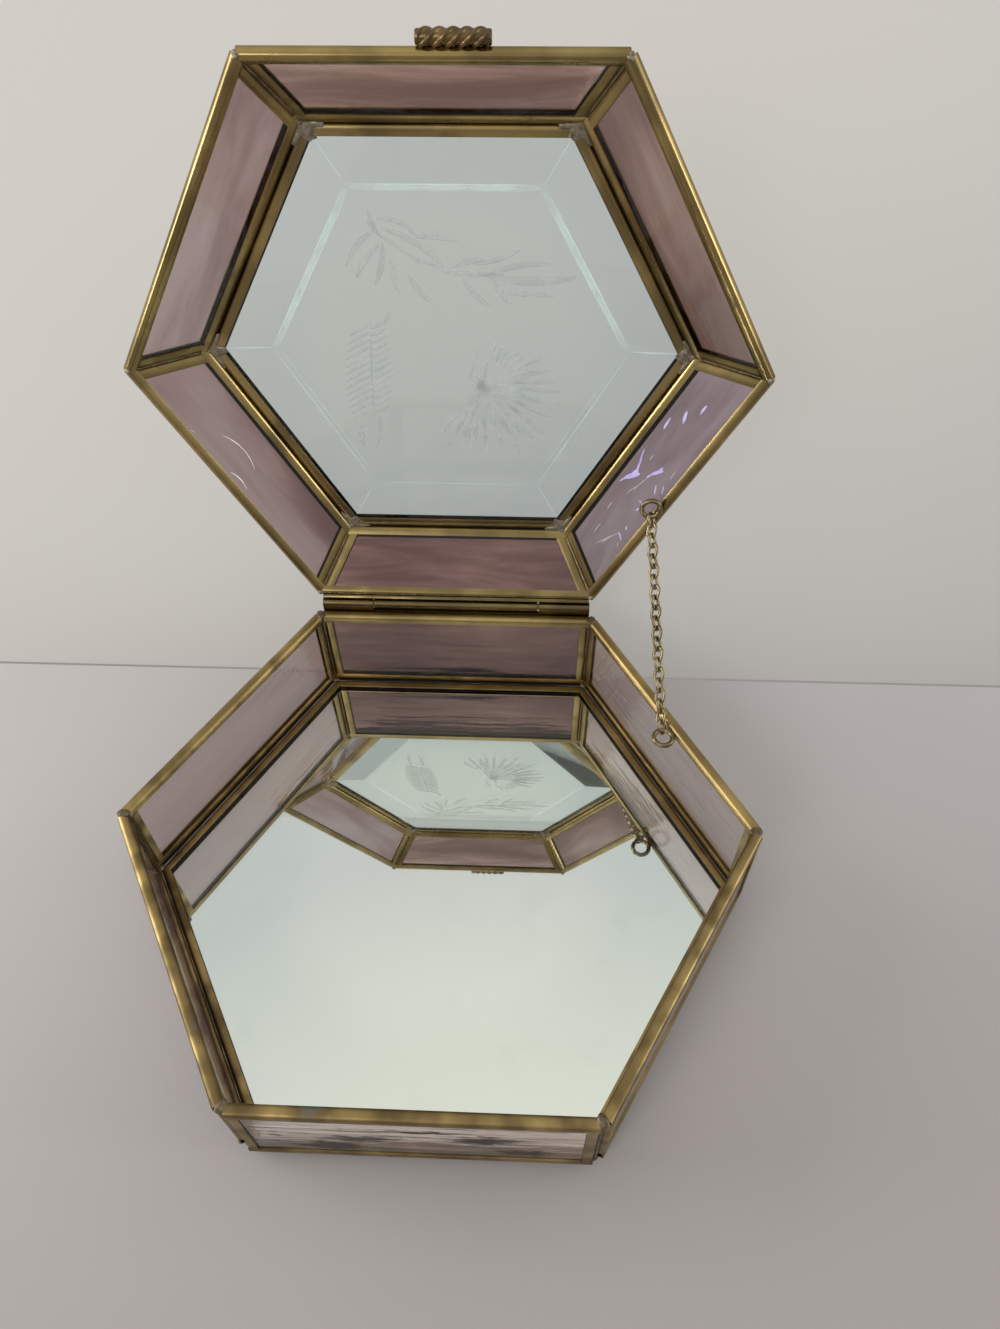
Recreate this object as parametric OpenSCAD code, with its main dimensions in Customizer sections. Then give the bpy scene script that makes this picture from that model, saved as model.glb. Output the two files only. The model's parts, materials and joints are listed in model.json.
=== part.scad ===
// Six-sided glass casket box: framed panes of tinted glass round a mirror floor, with a bevelled lid held open by
// a chain. The origin is the middle of the underside, +Z is up and +Y points to the hinge. The lid is drawn open.

/* [Base] */
// Inside length of each of the six sides
side = 75; // [70:0.5:90]
// Height of the base, from the table to its rim
base_h = 31.2; // [24:0.1:50]

/* [Lid] */
// Angle of the lid, from closed, at which the chain stops it
lid_open = 98.3; // [92:0.1:104]
// How much longer each side of the lid's rim is than a side of the base
lid_extra = 0.8; // [0:0.1:1.2]
// Inside length of each side of the clear middle pane
crown_side = 58.6; // [48:0.1:64]
// Height of the middle pane's frame over the lid's rim
lid_rise = 12.3; // [9:0.1:18]
// Gap between the two rims when the lid is closed
rim_gap = 0.4; // [0.35:0.05:0.8]

/* [Channel strips] */
// Width across the back of the brass channel
came_web = 2.8; // [2.8:0.1:3.4]
// Depth of the channel's two legs
came_leg = 2.4; // [1.8:0.1:3]
// Thickness of the channel's metal
came_wall = 0.35; // [0.25:0.05:0.35]
// Radius of the channel's two back edges
came_round = 0.7; // [0.4:0.1:0.8]
// Sawn gap where two strips meet
kerf = 0.05; // [0.03:0.01:0.1]

/* [Glass] */
// Thickness of the tinted panes
pane_t = 2; // [1.6:0.1:2]
// Thickness of the mirror floor
mirror_t = 2; // [1.6:0.1:2]
// Thickness of the clear pane where it enters its channel
crown_edge_t = 2; // [1.6:0.1:2]
// Thickness of the clear pane in its middle
crown_t = 3.6; // [2.6:0.1:5]
// Width of the bevel, from the channel's leg inwards
bevel_w = 10.2; // [6:0.1:14]
// Play between a pane's edge and the bottom of its channel
edge_play = 0.1; // [0.05:0.05:0.3]

/* [Hinge] */
// Outer diameter of the hinge barrels
barrel_d = 3; // [2.6:0.1:3.4]
// Diameter of the hinge pin
pin_d = 1.6; // [1.2:0.1:1.8]
// Running play round the pin
pin_play = 0.05; // [0.02:0.01:0.08]
// Height of the pin's axis over the base's rim
pin_rise = 1.4; // [1.2:0.1:1.8]
// Length of each of the two end barrels, which the base carries
end_barrel = 14.2; // [10:0.1:20]
// Gap between neighbouring barrels
barrel_gap = 0.3; // [0.2:0.05:0.6]
// Thickness of the hinge leaves
leaf_t = 0.4; // [0.3:0.05:0.5]
// Height of the hinge leaves on the strips that carry them
leaf_h = 2.2; // [1.6:0.1:2.6]

/* [Stay chain] */
// Outer diameter of the two rings that hold the chain
ring_d = 6; // [5:0.1:7]
// Wire diameter of the two rings
ring_wire = 1; // [0.8:0.1:1.2]
// Distance of the base's ring from the rear corner, along the wall
base_ring_at = 41.85; // [36:0.05:48]
// Distance of the lid's ring from the rear corner, along the rim
lid_ring_at = 33; // [28:0.1:34]
// Distance from one link to the next, before it is fitted to the span
link_pitch = 2.7; // [2.6:0.1:3.4]
// Width of a link
link_w = 3.2; // [3:0.1:3.4]
// Wire diameter of a link
link_wire = 0.55; // [0.45:0.05:0.65]
// Play between a link and the wire that it hangs on
link_play = 0.08; // [0.05:0.01:0.12]

/* [Thumb lift] */
// Length of the twisted part of the thumb lift
lift_l = 13.5; // [10:0.1:18]
// Diameter of the thumb lift over its strands
lift_d = 3.6; // [3.2:0.1:4.2]
// Length in which the strands turn round once
lift_lead = 7.8; // [6:0.1:12]
// How far the thumb lift's middle stands out from the rim strip's inner face
lift_out = 3.4; // [3:0.1:3.6]
// How far the thumb lift's middle lies below the rim strip's back
lift_drop = 0.8; // [0.4:0.1:1]
// How far the thumb lift stands to the right of the middle
lift_at = 4.1; // [-8:0.1:8]

/* [Solder] */
// Depth to which solder fills the outer grooves
seam_depth = 1.9; // [1.2:0.1:2.4]
// Radius of the drops of solder in the corners
drop_r = 1.3; // [1:0.1:1.4]
// Height of the solder puddles on the base's rim
puddle_h = 0.25; // [0.15:0.05:0.3]
// Width of the solder puddles on the base's rim
puddle_d = 3.2; // [2.8:0.1:3.4]
// Film of air left round solder and soldered pieces
film = 0.02; // [0.01:0.01:0.03]

/* [Hidden] */
$fn = 48;

SIDES = 6;
STEP = 360 / SIDES;
REAR = 0;
REAR_LEFT = 1;
FRONT_LEFT = 2;
FRONT = 3;
FRONT_RIGHT = 4;
REAR_RIGHT = 5;

BRASS = [0.49, 0.41, 0.22];
DARK_BRASS = [0.40, 0.34, 0.20];
ROSE_GLASS = [0.62, 0.50, 0.50, 0.6];
CLEAR_GLASS = [0.78, 0.83, 0.81, 0.4];
SILVER = [0.86, 0.86, 0.84];
SOLDER = [0.55, 0.55, 0.52];

// distance from the middle of a regular hexagon to its sides
function apothem(s) = s * cos(STEP / 2);
function unit(v) = v / norm(v);
function turned(p, a) = [p.x * cos(a) - p.y * sin(a), p.x * sin(a) + p.y * cos(a), p.z];

wall_h = base_h - came_web;
wall_l = side - 2 * film;
lid_side = side + lid_extra;
base_ap = apothem(side);
lid_ap = apothem(lid_side);
crown_ap = apothem(crown_side);
rim_z = base_h + rim_gap;
pane_in = film + came_wall + edge_play;

// slope of the lid's six panes, their height along the slope, and the lean of their side edges
pane_run = lid_ap - crown_ap;
slope = atan2(lid_rise, pane_run);
slant = norm([pane_run, lid_rise]);
lean = atan2((lid_side - crown_side) / 2, slant);

// the lid's six corner lines, and half the angle of the grooves that open along them
hip_l = norm([lid_side - crown_side, lid_rise]);
hip_lean = atan2(lid_side - crown_side, lid_rise);
hip_half = acos(pow(sin(slope), 2) * cos(STEP) + pow(cos(slope), 2)) / 2;
groove_foot = 0.35;

hinge_y = base_ap + came_web + film + barrel_d / 2;
hinge_z = base_h + pin_rise;
middle_barrel = side - 2 * end_barrel - 2 * barrel_gap;
// the pin's axis, seen from the rear lid pane: outwards, and down the slope past the rim
axis_out = (hinge_y - lid_ap) * sin(slope) + (hinge_z - rim_z) * cos(slope);
axis_down = (hinge_y - lid_ap) * cos(slope) - (hinge_z - rim_z) * sin(slope);

// carries a point of the closed lid to the open lid
function opened(p) = [
    p.x,
    hinge_y + (p.y - hinge_y) * cos(lid_open) + (p.z - hinge_z) * sin(lid_open),
    hinge_z - (p.y - hinge_y) * sin(lid_open) + (p.z - hinge_z) * cos(lid_open)
];

// the chain runs straight from the wire of one ring to the wire of the other
ring_r = (ring_d - ring_wire) / 2;
base_ring_in = ring_d / 2 + film;
lid_ring_z = 0.1;
lid_ring_in = ring_r + (lid_ring_z * cos(slope) + ring_wire / 2 + film) / sin(slope);
base_ring_c = turned([base_ring_at - side / 2, base_ap - base_ring_in, base_h - came_leg / 2], REAR_RIGHT * STEP);
lid_ring_c = turned([lid_ring_at - lid_side / 2, lid_ap - lid_ring_in, rim_z + lid_ring_z], REAR_RIGHT * STEP);
between = opened(lid_ring_c) - base_ring_c;
lid_up = [0, sin(lid_open), cos(lid_open)];
base_hook = base_ring_c + ring_r * unit([between.x, between.y, 0]);
lid_hook = opened(lid_ring_c) - ring_r * unit(between - (between * lid_up) * lid_up);
span = lid_hook - base_hook;
reach = norm(span) + ring_wire + link_play;
links = 2 * round((reach / link_pitch - 1) / 2) + 1;
pitch = reach / links;
link_l = pitch + 2 * link_wire + link_play;
link_straight = max(link_l - link_w, 0.1);
link_bend = (link_w - link_wire) / 2;
first_link = (link_l - link_wire) / 2 - (link_wire + ring_wire) / 2 - link_play;

// places its children on one side of a hexagon, with X along the side and Y outwards
module on_side(index, distance) {
    rotate([0, 0, index * STEP]) translate([0, distance, 0]) children();
}

// places its children on all corners of a hexagon, with X outwards
module on_corners(distance) {
    for (i = [0:SIDES - 1]) rotate([0, 0, i * STEP]) translate([distance, 0, 0]) children();
}

module open_lid() {
    translate([0, hinge_y, hinge_z]) rotate([-lid_open, 0, 0]) translate([0, -hinge_y, -hinge_z]) children();
}

// one sloping pane's own frame: X along the rim, Y out of its inner face, Z up the slope
module on_pane(index) {
    translate([0, 0, rim_z]) on_side(index, lid_ap) rotate([90 - slope, 0, 0]) children();
}

module hexagon(distance, height) {
    cylinder(r = distance / cos(STEP / 2), h = height, $fn = SIDES);
}

// section of the channel: X across its back, Y along its legs
module came_profile() {
    difference() {
        union() {
            translate([0, came_round]) square([came_web, came_leg - came_round]);
            translate([came_round, 0]) square([came_web - 2 * came_round, came_leg]);
            for (x = [came_round, came_web - came_round]) translate([x, came_round]) circle(came_round);
        }
        translate([came_wall, came_wall]) square([came_web - 2 * came_wall, came_leg]);
    }
}

// channel along X with its back down and its inner leg on Y = 0
module strip(length) {
    rotate([90, 0, 90]) linear_extrude(length) came_profile();
}

// channel along Z with its back on X = 0 and its legs towards +X
module upright(length) {
    mirror([1, 0, 0]) rotate([0, -90, 0]) strip(length);
}

// channel along X that lies flat, with its back outwards on Y = 0
module flat_strip(length) {
    rotate([90, 0, 90]) linear_extrude(length) rotate(90) came_profile();
}

module wall_came(index) {
    post = wall_h - 2 * came_leg - 2 * kerf;
    color(BRASS) translate([0, 0, came_web]) on_side(index, base_ap) translate([-wall_l / 2, 0, 0]) {
        strip(wall_l);
        translate([0, 0, wall_h]) mirror([0, 0, 1]) strip(wall_l);
        translate([0, 0, came_leg + kerf]) upright(post);
        translate([wall_l, 0, came_leg + kerf]) mirror([1, 0, 0]) upright(post);
    }
}

module wall_glass(index) {
    color(ROSE_GLASS) translate([0, 0, came_web]) on_side(index, base_ap)
        translate([pane_in - side / 2, (came_web - pane_t) / 2, pane_in])
            cube([side - 2 * pane_in, pane_t, wall_h - 2 * pane_in]);
}

// slab with the outline of a sloping pane, drawn in by the margin on all four edges
module pane_slab(margin, thickness) {
    foot = lid_side / 2 - margin * tan(lean) - margin / cos(lean);
    head = lid_side / 2 - (slant - margin) * tan(lean) - margin / cos(lean);
    translate([0, thickness, 0]) rotate([90, 0, 0]) linear_extrude(thickness)
        polygon([[-foot, margin], [foot, margin], [head, slant - margin], [-head, slant - margin]]);
}

module lid_came(index) {
    post = slant - 2 * film - 2 * came_leg - 2 * kerf;
    color(BRASS) open_lid() on_pane(index) {
        intersection() {
            pane_slab(film, came_web);
            translate([-lid_side / 2, 0, film]) strip(lid_side);
        }
        intersection() {
            pane_slab(film, came_web);
            translate([-lid_side / 2, 0, slant - film]) mirror([0, 0, 1]) strip(lid_side);
        }
        for (hand = [0, 1]) mirror([hand, 0, 0]) intersection() {
            translate([film / cos(lean) - lid_side / 2, 0, 0]) rotate([0, lean, 0]) upright(slant / cos(lean));
            translate([-lid_side, 0, film + came_leg + kerf]) cube([lid_side, came_web, post]);
        }
    }
}

module lid_glass(index) {
    color(ROSE_GLASS) open_lid() on_pane(index)
        translate([0, (came_web - pane_t) / 2, 0]) pane_slab(pane_in, pane_t);
}

module mirror_floor() {
    color(SILVER) translate([0, 0, (came_web - mirror_t) / 2]) hexagon(base_ap - pane_in, mirror_t);
}

// one channel bent round all six edges of the mirror
module floor_came() {
    color(BRASS) difference() {
        hexagon(base_ap, came_web);
        translate([0, 0, came_wall]) hexagon(base_ap - came_wall, came_web - 2 * came_wall);
        translate([0, 0, -1]) hexagon(base_ap - came_leg, came_web + 2);
    }
}

// six strips, mitred and parted by a saw cut at each corner
module crown_came() {
    color(BRASS) open_lid() translate([0, 0, rim_z + lid_rise]) for (i = [0:SIDES - 1]) on_side(i, crown_ap)
        intersection() {
            translate([-crown_side / 2, 0, 0]) flat_strip(crown_side);
            translate([0, 0, -1]) linear_extrude(came_web + 2) polygon([
                [kerf / sqrt(3) - crown_side / 2, 0], [0, kerf - crown_ap], [crown_side / 2 - kerf / sqrt(3), 0]
            ]);
        }
}

// clear pane: one wide bevel from its thin edge up to the thick middle
module crown_glass() {
    rise = crown_t - crown_edge_t;
    color(CLEAR_GLASS) open_lid() translate([0, 0, rim_z + lid_rise + (came_web - crown_edge_t) / 2]) difference() {
        hexagon(crown_ap - pane_in, crown_t);
        for (i = [0:SIDES - 1]) on_side(i, crown_ap - came_leg) translate([-crown_side, 0, crown_edge_t])
            rotate([90, 0, 90]) linear_extrude(2 * crown_side) polygon([
                [came_leg, -came_leg * rise / bevel_w], [-1.5 * bevel_w, 1.5 * rise], [came_leg, 1.5 * rise]
            ]);
    }
}

// solder in a groove that opens along +X, running up Z
module seam(half, length) {
    linear_extrude(length) polygon([
        [groove_foot, groove_foot * tan(half)], [groove_foot, -groove_foot * tan(half)],
        [seam_depth, -seam_depth * tan(half)], [seam_depth, seam_depth * tan(half)]
    ]);
}

// flat drop of solder that lies on Z = 0
module puddle() {
    dome = (pow(puddle_d / 2, 2) + pow(puddle_h, 2)) / (2 * puddle_h);
    intersection() {
        translate([0, 0, puddle_h - dome]) sphere(dome, $fn = 96);
        cylinder(d = puddle_d + 1, h = 1);
    }
}

module base_solder() {
    root = 0.3;
    color(SOLDER) {
        on_corners(side) translate([0, 0, came_web - root]) seam(STEP / 2, wall_h + root + film + 0.04);
        on_corners(side + 1.2) translate([0, 0, base_h + film]) puddle();
        difference() {
            on_corners(side + drop_r / 2) translate([0, 0, came_web - film]) sphere(drop_r);
            translate([0, 0, came_web - film]) cylinder(r = side + 9, h = 9);
            translate([0, 0, -1]) hexagon(base_ap + film, came_web + 2);
        }
        intersection() {
            on_corners(side - drop_r / 2) translate([0, 0, came_web + film + drop_r / 3]) sphere(drop_r);
            translate([0, 0, came_web + film]) hexagon(base_ap - film, wall_h);
        }
    }
}

module lid_solder() {
    color(SOLDER) open_lid() translate([0, 0, rim_z]) {
        on_corners(lid_side) rotate([0, -hip_lean, 0]) seam(hip_half, hip_l);
        difference() {
            on_corners(crown_side + 1.15) translate([0, 0, lid_rise + 0.95]) sphere(drop_r);
            translate([0, 0, lid_rise - 3]) hexagon(crown_ap + film, came_web + 6);
            translate([0, 0, -rim_z]) for (i = [0:SIDES - 1]) on_pane(i) slab_over();
        }
    }
}

// room that a sloping pane's frame takes up, with the film of air round it
module slab_over() {
    translate([0, -film, film]) pane_slab(0, came_web + 2 * film);
    translate([0, -film, 0]) pane_slab(0, came_web + 2 * film);
}

// one hinge barrel about X, from X = 0
module barrel(length) {
    rotate([0, 90, 0]) cylinder(d = barrel_d, h = length);
}

module bore() {
    rotate([0, 90, 0]) translate([0, 0, -side]) cylinder(d = pin_d + 2 * pin_play, h = 2 * side);
}

module hinge_end_barrels() {
    color(BRASS) for (hand = [0, 1]) mirror([hand, 0, 0]) translate([-side / 2, hinge_y, hinge_z]) difference() {
        union() {
            barrel(end_barrel);
            translate([0, -barrel_d / 2, -pin_rise - leaf_h]) cube([end_barrel, leaf_t, pin_rise + leaf_h]);
        }
        bore();
    }
}

module hinge_pin() {
    color(DARK_BRASS) translate([-side / 2, hinge_y, hinge_z]) rotate([0, 90, 0]) cylinder(d = pin_d, h = side);
}

module hinge_middle_barrel() {
    color(BRASS) open_lid() difference() {
        union() {
            translate([-middle_barrel / 2, hinge_y, hinge_z]) barrel(middle_barrel);
            on_pane(REAR) translate([-middle_barrel / 2, came_web + film, -axis_down])
                cube([middle_barrel, leaf_t, axis_down + leaf_h]);
        }
        translate([0, hinge_y, hinge_z]) bore();
    }
}

module ring() {
    rotate_extrude() translate([ring_r, 0]) circle(d = ring_wire);
}

module base_chain_ring() {
    color(DARK_BRASS) translate(base_ring_c) ring();
}

module lid_chain_ring() {
    color(DARK_BRASS) open_lid() translate(lid_ring_c) ring();
}

// oval link in the plane of X and Z, long along Z
module link() {
    for (end = [0, 1]) mirror([0, 0, end]) translate([0, 0, link_straight / 2]) rotate([90, 0, 0])
        rotate_extrude(angle = 180, $fn = 12) translate([link_bend, 0]) circle(d = link_wire, $fn = 8);
    for (x = [-link_bend, link_bend]) translate([x, 0, -link_straight / 2])
        cylinder(d = link_wire, h = link_straight, $fn = 8);
}

// each link passes through the next, and the end links through the two rings
module stay_chain() {
    along = unit(span);
    color(DARK_BRASS) translate(base_hook) rotate([0, acos(along.z), atan2(along.y, along.x)])
        for (i = [0:links - 1]) translate([0, 0, first_link + i * pitch]) rotate([0, 0, 90 * (i % 2)]) link();
}

// three strands twisted together, notched to sit on the rim strip's outer edge
module thumb_lift() {
    strand = lift_d / 2 / (1 + 2 / sqrt(3));
    color(BRASS) open_lid() on_pane(FRONT) difference() {
        translate([-lift_at - lift_l / 2, lift_out, -lift_drop]) rotate([0, 90, 0]) {
            linear_extrude(lift_l, twist = 360 * lift_l / lift_lead, slices = 30) union() {
                circle(strand, $fn = 6);
                for (i = [0:2]) rotate(120 * i) translate([lift_d / 2 - strand, 0]) circle(strand, $fn = 14);
            }
            translate([0, 0, -0.6]) cylinder(d = 0.8 * lift_d, h = lift_l + 1.2);
        }
        translate([-lift_at - lift_l, -1, -film]) cube([2 * lift_l, came_web + film + 1, lift_d]);
    }
}

wall_glass(REAR);  // wall_glass_rear
wall_glass(REAR_LEFT);  // wall_glass_rear_left
wall_glass(FRONT_LEFT);  // wall_glass_front_left
wall_glass(FRONT);  // wall_glass_front
wall_glass(FRONT_RIGHT);  // wall_glass_front_right
wall_glass(REAR_RIGHT);  // wall_glass_rear_right
wall_came(REAR);  // wall_came_rear
wall_came(REAR_LEFT);  // wall_came_rear_left
wall_came(FRONT_LEFT);  // wall_came_front_left
wall_came(FRONT);  // wall_came_front
wall_came(FRONT_RIGHT);  // wall_came_front_right
wall_came(REAR_RIGHT);  // wall_came_rear_right
mirror_floor();
floor_came();
base_solder();
hinge_end_barrels();
hinge_pin();
base_chain_ring();
stay_chain();
lid_glass(REAR);  // lid_glass_rear
lid_glass(REAR_LEFT);  // lid_glass_rear_left
lid_glass(FRONT_LEFT);  // lid_glass_front_left
lid_glass(FRONT);  // lid_glass_front
lid_glass(FRONT_RIGHT);  // lid_glass_front_right
lid_glass(REAR_RIGHT);  // lid_glass_rear_right
lid_came(REAR);  // lid_came_rear
lid_came(REAR_LEFT);  // lid_came_rear_left
lid_came(FRONT_LEFT);  // lid_came_front_left
lid_came(FRONT);  // lid_came_front
lid_came(FRONT_RIGHT);  // lid_came_front_right
lid_came(REAR_RIGHT);  // lid_came_rear_right
crown_glass();
crown_came();
lid_solder();
hinge_middle_barrel();
lid_chain_ring();
thumb_lift();
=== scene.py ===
"""Dresses the glass casket box: brass channel, tinted and clear glass, mirror, hinge, chain, solder and thumb lift."""

import json
import logging
import math
import random
from dataclasses import dataclass, field
from enum import Enum
from typing import Any, Callable, Sequence

import bmesh
import bpy
from mathutils import Matrix, Vector, noise

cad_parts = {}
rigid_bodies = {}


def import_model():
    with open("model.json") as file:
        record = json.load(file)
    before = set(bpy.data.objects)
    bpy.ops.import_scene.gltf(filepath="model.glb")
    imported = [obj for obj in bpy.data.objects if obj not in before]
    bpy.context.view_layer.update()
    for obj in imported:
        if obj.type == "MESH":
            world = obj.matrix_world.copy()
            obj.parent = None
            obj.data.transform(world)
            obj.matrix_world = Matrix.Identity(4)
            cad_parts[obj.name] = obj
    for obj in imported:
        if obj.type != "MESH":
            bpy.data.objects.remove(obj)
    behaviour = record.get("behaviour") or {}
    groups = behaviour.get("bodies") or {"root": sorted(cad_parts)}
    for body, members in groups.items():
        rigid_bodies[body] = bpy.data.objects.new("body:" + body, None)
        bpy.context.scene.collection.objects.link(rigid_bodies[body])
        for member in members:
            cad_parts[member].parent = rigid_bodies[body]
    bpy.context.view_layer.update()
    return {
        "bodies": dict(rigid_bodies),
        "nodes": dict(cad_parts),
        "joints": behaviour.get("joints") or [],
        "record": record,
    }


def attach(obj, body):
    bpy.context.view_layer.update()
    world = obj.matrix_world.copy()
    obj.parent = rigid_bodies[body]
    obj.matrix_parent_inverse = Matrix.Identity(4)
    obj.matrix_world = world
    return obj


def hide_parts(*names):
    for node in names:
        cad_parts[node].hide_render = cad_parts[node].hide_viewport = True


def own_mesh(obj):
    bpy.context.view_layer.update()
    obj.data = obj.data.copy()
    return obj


Colour = tuple[float, float, float]
Point = tuple[float, float, float]

log = logging.getLogger("casket_box")


# Sizes


@dataclass(frozen=True)
class BoxSizes:
    """Sizes of the box in millimetres, with the lid held open by its chain."""

    side: float = 75.0
    base_h: float = 31.2
    lid_open: float = 98.3
    lid_extra: float = 0.8
    crown_side: float = 58.6
    lid_rise: float = 12.3
    rim_gap: float = 0.4
    came_web: float = 2.8
    came_leg: float = 2.4
    mirror_t: float = 2.0
    barrel_d: float = 3.0
    pin_rise: float = 1.4
    ring_d: float = 6.0
    ring_wire: float = 1.0
    base_ring_at: float = 41.85
    lid_ring_at: float = 33.0
    lid_ring_z: float = 0.1
    film: float = 0.02

    @property
    def base_ap(self) -> float:
        """Distance from the middle to the inside of the base's walls."""
        return self.side * math.cos(math.pi / 6)

    @property
    def lid_side(self) -> float:
        """Inside length of each side of the lid's rim."""
        return self.side + self.lid_extra

    @property
    def lid_ap(self) -> float:
        """Distance from the middle to the inside of the lid's rim."""
        return self.lid_side * math.cos(math.pi / 6)

    @property
    def crown_ap(self) -> float:
        """Distance from the middle to the outside of the clear pane's frame."""
        return self.crown_side * math.cos(math.pi / 6)

    @property
    def rim_z(self) -> float:
        """Height of the closed lid's rim."""
        return self.base_h + self.rim_gap

    @property
    def slope(self) -> float:
        """Angle of the lid's sloping panes over the rim, in radians."""
        return math.atan2(self.lid_rise, self.lid_ap - self.crown_ap)

    @property
    def slant(self) -> float:
        """Height of the sloping panes, along the slope."""
        return math.hypot(self.lid_ap - self.crown_ap, self.lid_rise)

    @property
    def ring_r(self) -> float:
        """Radius of the middle of the rings' wire."""
        return (self.ring_d - self.ring_wire) / 2

    @property
    def hinge(self) -> Vector:
        """A point of the hinge's axis."""
        y = self.base_ap + self.came_web + self.film + self.barrel_d / 2
        return Vector((0, y, self.base_h + self.pin_rise))

    def opening(self) -> Matrix:
        """Carries the closed lid to the open lid."""
        turn = Matrix.Rotation(-math.radians(self.lid_open), 4, "X")
        return Matrix.Translation(self.hinge) @ turn @ Matrix.Translation(-self.hinge)

    def on_side(self, side: "Side", distance: float) -> Matrix:
        """Frame of one side of a hexagon.

        Args:
            side: The side of the box.
            distance: Distance of the frame's origin from the middle.

        Returns:
            A frame with X along the side and Y outwards.
        """
        return Matrix.Rotation(side.value * math.pi / 3, 4, "Z") @ Matrix.Translation((0, distance, 0))

    def wall(self, side: "Side") -> Matrix:
        """Frame of one wall: X along, Y outwards from its inner face, Z up from its foot."""
        return Matrix.Translation((0, 0, self.came_web)) @ self.on_side(side, self.base_ap)

    def pane(self, side: "Side") -> Matrix:
        """Frame of one sloping pane of the open lid: X along the rim, Y outwards, Z up the slope."""
        lean = Matrix.Rotation(math.pi / 2 - self.slope, 4, "X")
        shut = Matrix.Translation((0, 0, self.rim_z)) @ self.on_side(side, self.lid_ap) @ lean
        return self.opening() @ shut

    def crown(self) -> Matrix:
        """Frame of the open lid's clear pane: Z out of the lid from the frame's inner face."""
        return self.opening() @ Matrix.Translation((0, 0, self.rim_z + self.lid_rise))


class Side(Enum):
    """The six sides of the box, counted from the hinge."""

    REAR = 0
    REAR_LEFT = 1
    FRONT_LEFT = 2
    FRONT = 3
    FRONT_RIGHT = 4
    REAR_RIGHT = 5

    @property
    def word(self) -> str:
        """The side's name in the names of the pieces."""
        return self.name.lower()


class Body(Enum):
    """The two bodies that the hinge joins."""

    BASE = "base"
    LID = "lid"


SIZES = BoxSizes()


# Shader sheets


class Value:
    """A socket that takes part in sums, which add Math nodes to its sheet."""

    def __init__(self, sheet: "Sheet", socket: bpy.types.NodeSocket) -> None:
        """Keeps the sheet and the socket."""
        self.sheet = sheet
        self.socket = socket

    def _sum(self, operation: str, *terms: Any) -> "Value":
        """Adds one Math node."""
        return self.sheet.add("ShaderNodeMath", {"operation": operation}, dict(enumerate(terms)))

    def __add__(self, other: Any) -> "Value":
        """Sum."""
        return self._sum("ADD", self, other)

    def __sub__(self, other: Any) -> "Value":
        """Difference."""
        return self._sum("SUBTRACT", self, other)

    def __rsub__(self, other: Any) -> "Value":
        """Difference from a number."""
        return self._sum("SUBTRACT", other, self)

    def __mul__(self, other: Any) -> "Value":
        """Product."""
        return self._sum("MULTIPLY", self, other)

    def __truediv__(self, other: Any) -> "Value":
        """Quotient."""
        return self._sum("DIVIDE", self, other)

    def __pow__(self, other: Any) -> "Value":
        """Power."""
        return self._sum("POWER", self, other)

    __radd__ = __add__
    __rmul__ = __mul__

    def between(self, low: float, high: float) -> "Value":
        """Smooth step from 0 at low to 1 at high."""
        settings = {"interpolation_type": "SMOOTHSTEP"}
        return self.sheet.add("ShaderNodeMapRange", settings, {"Value": self, "From Min": low, "From Max": high})


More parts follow.
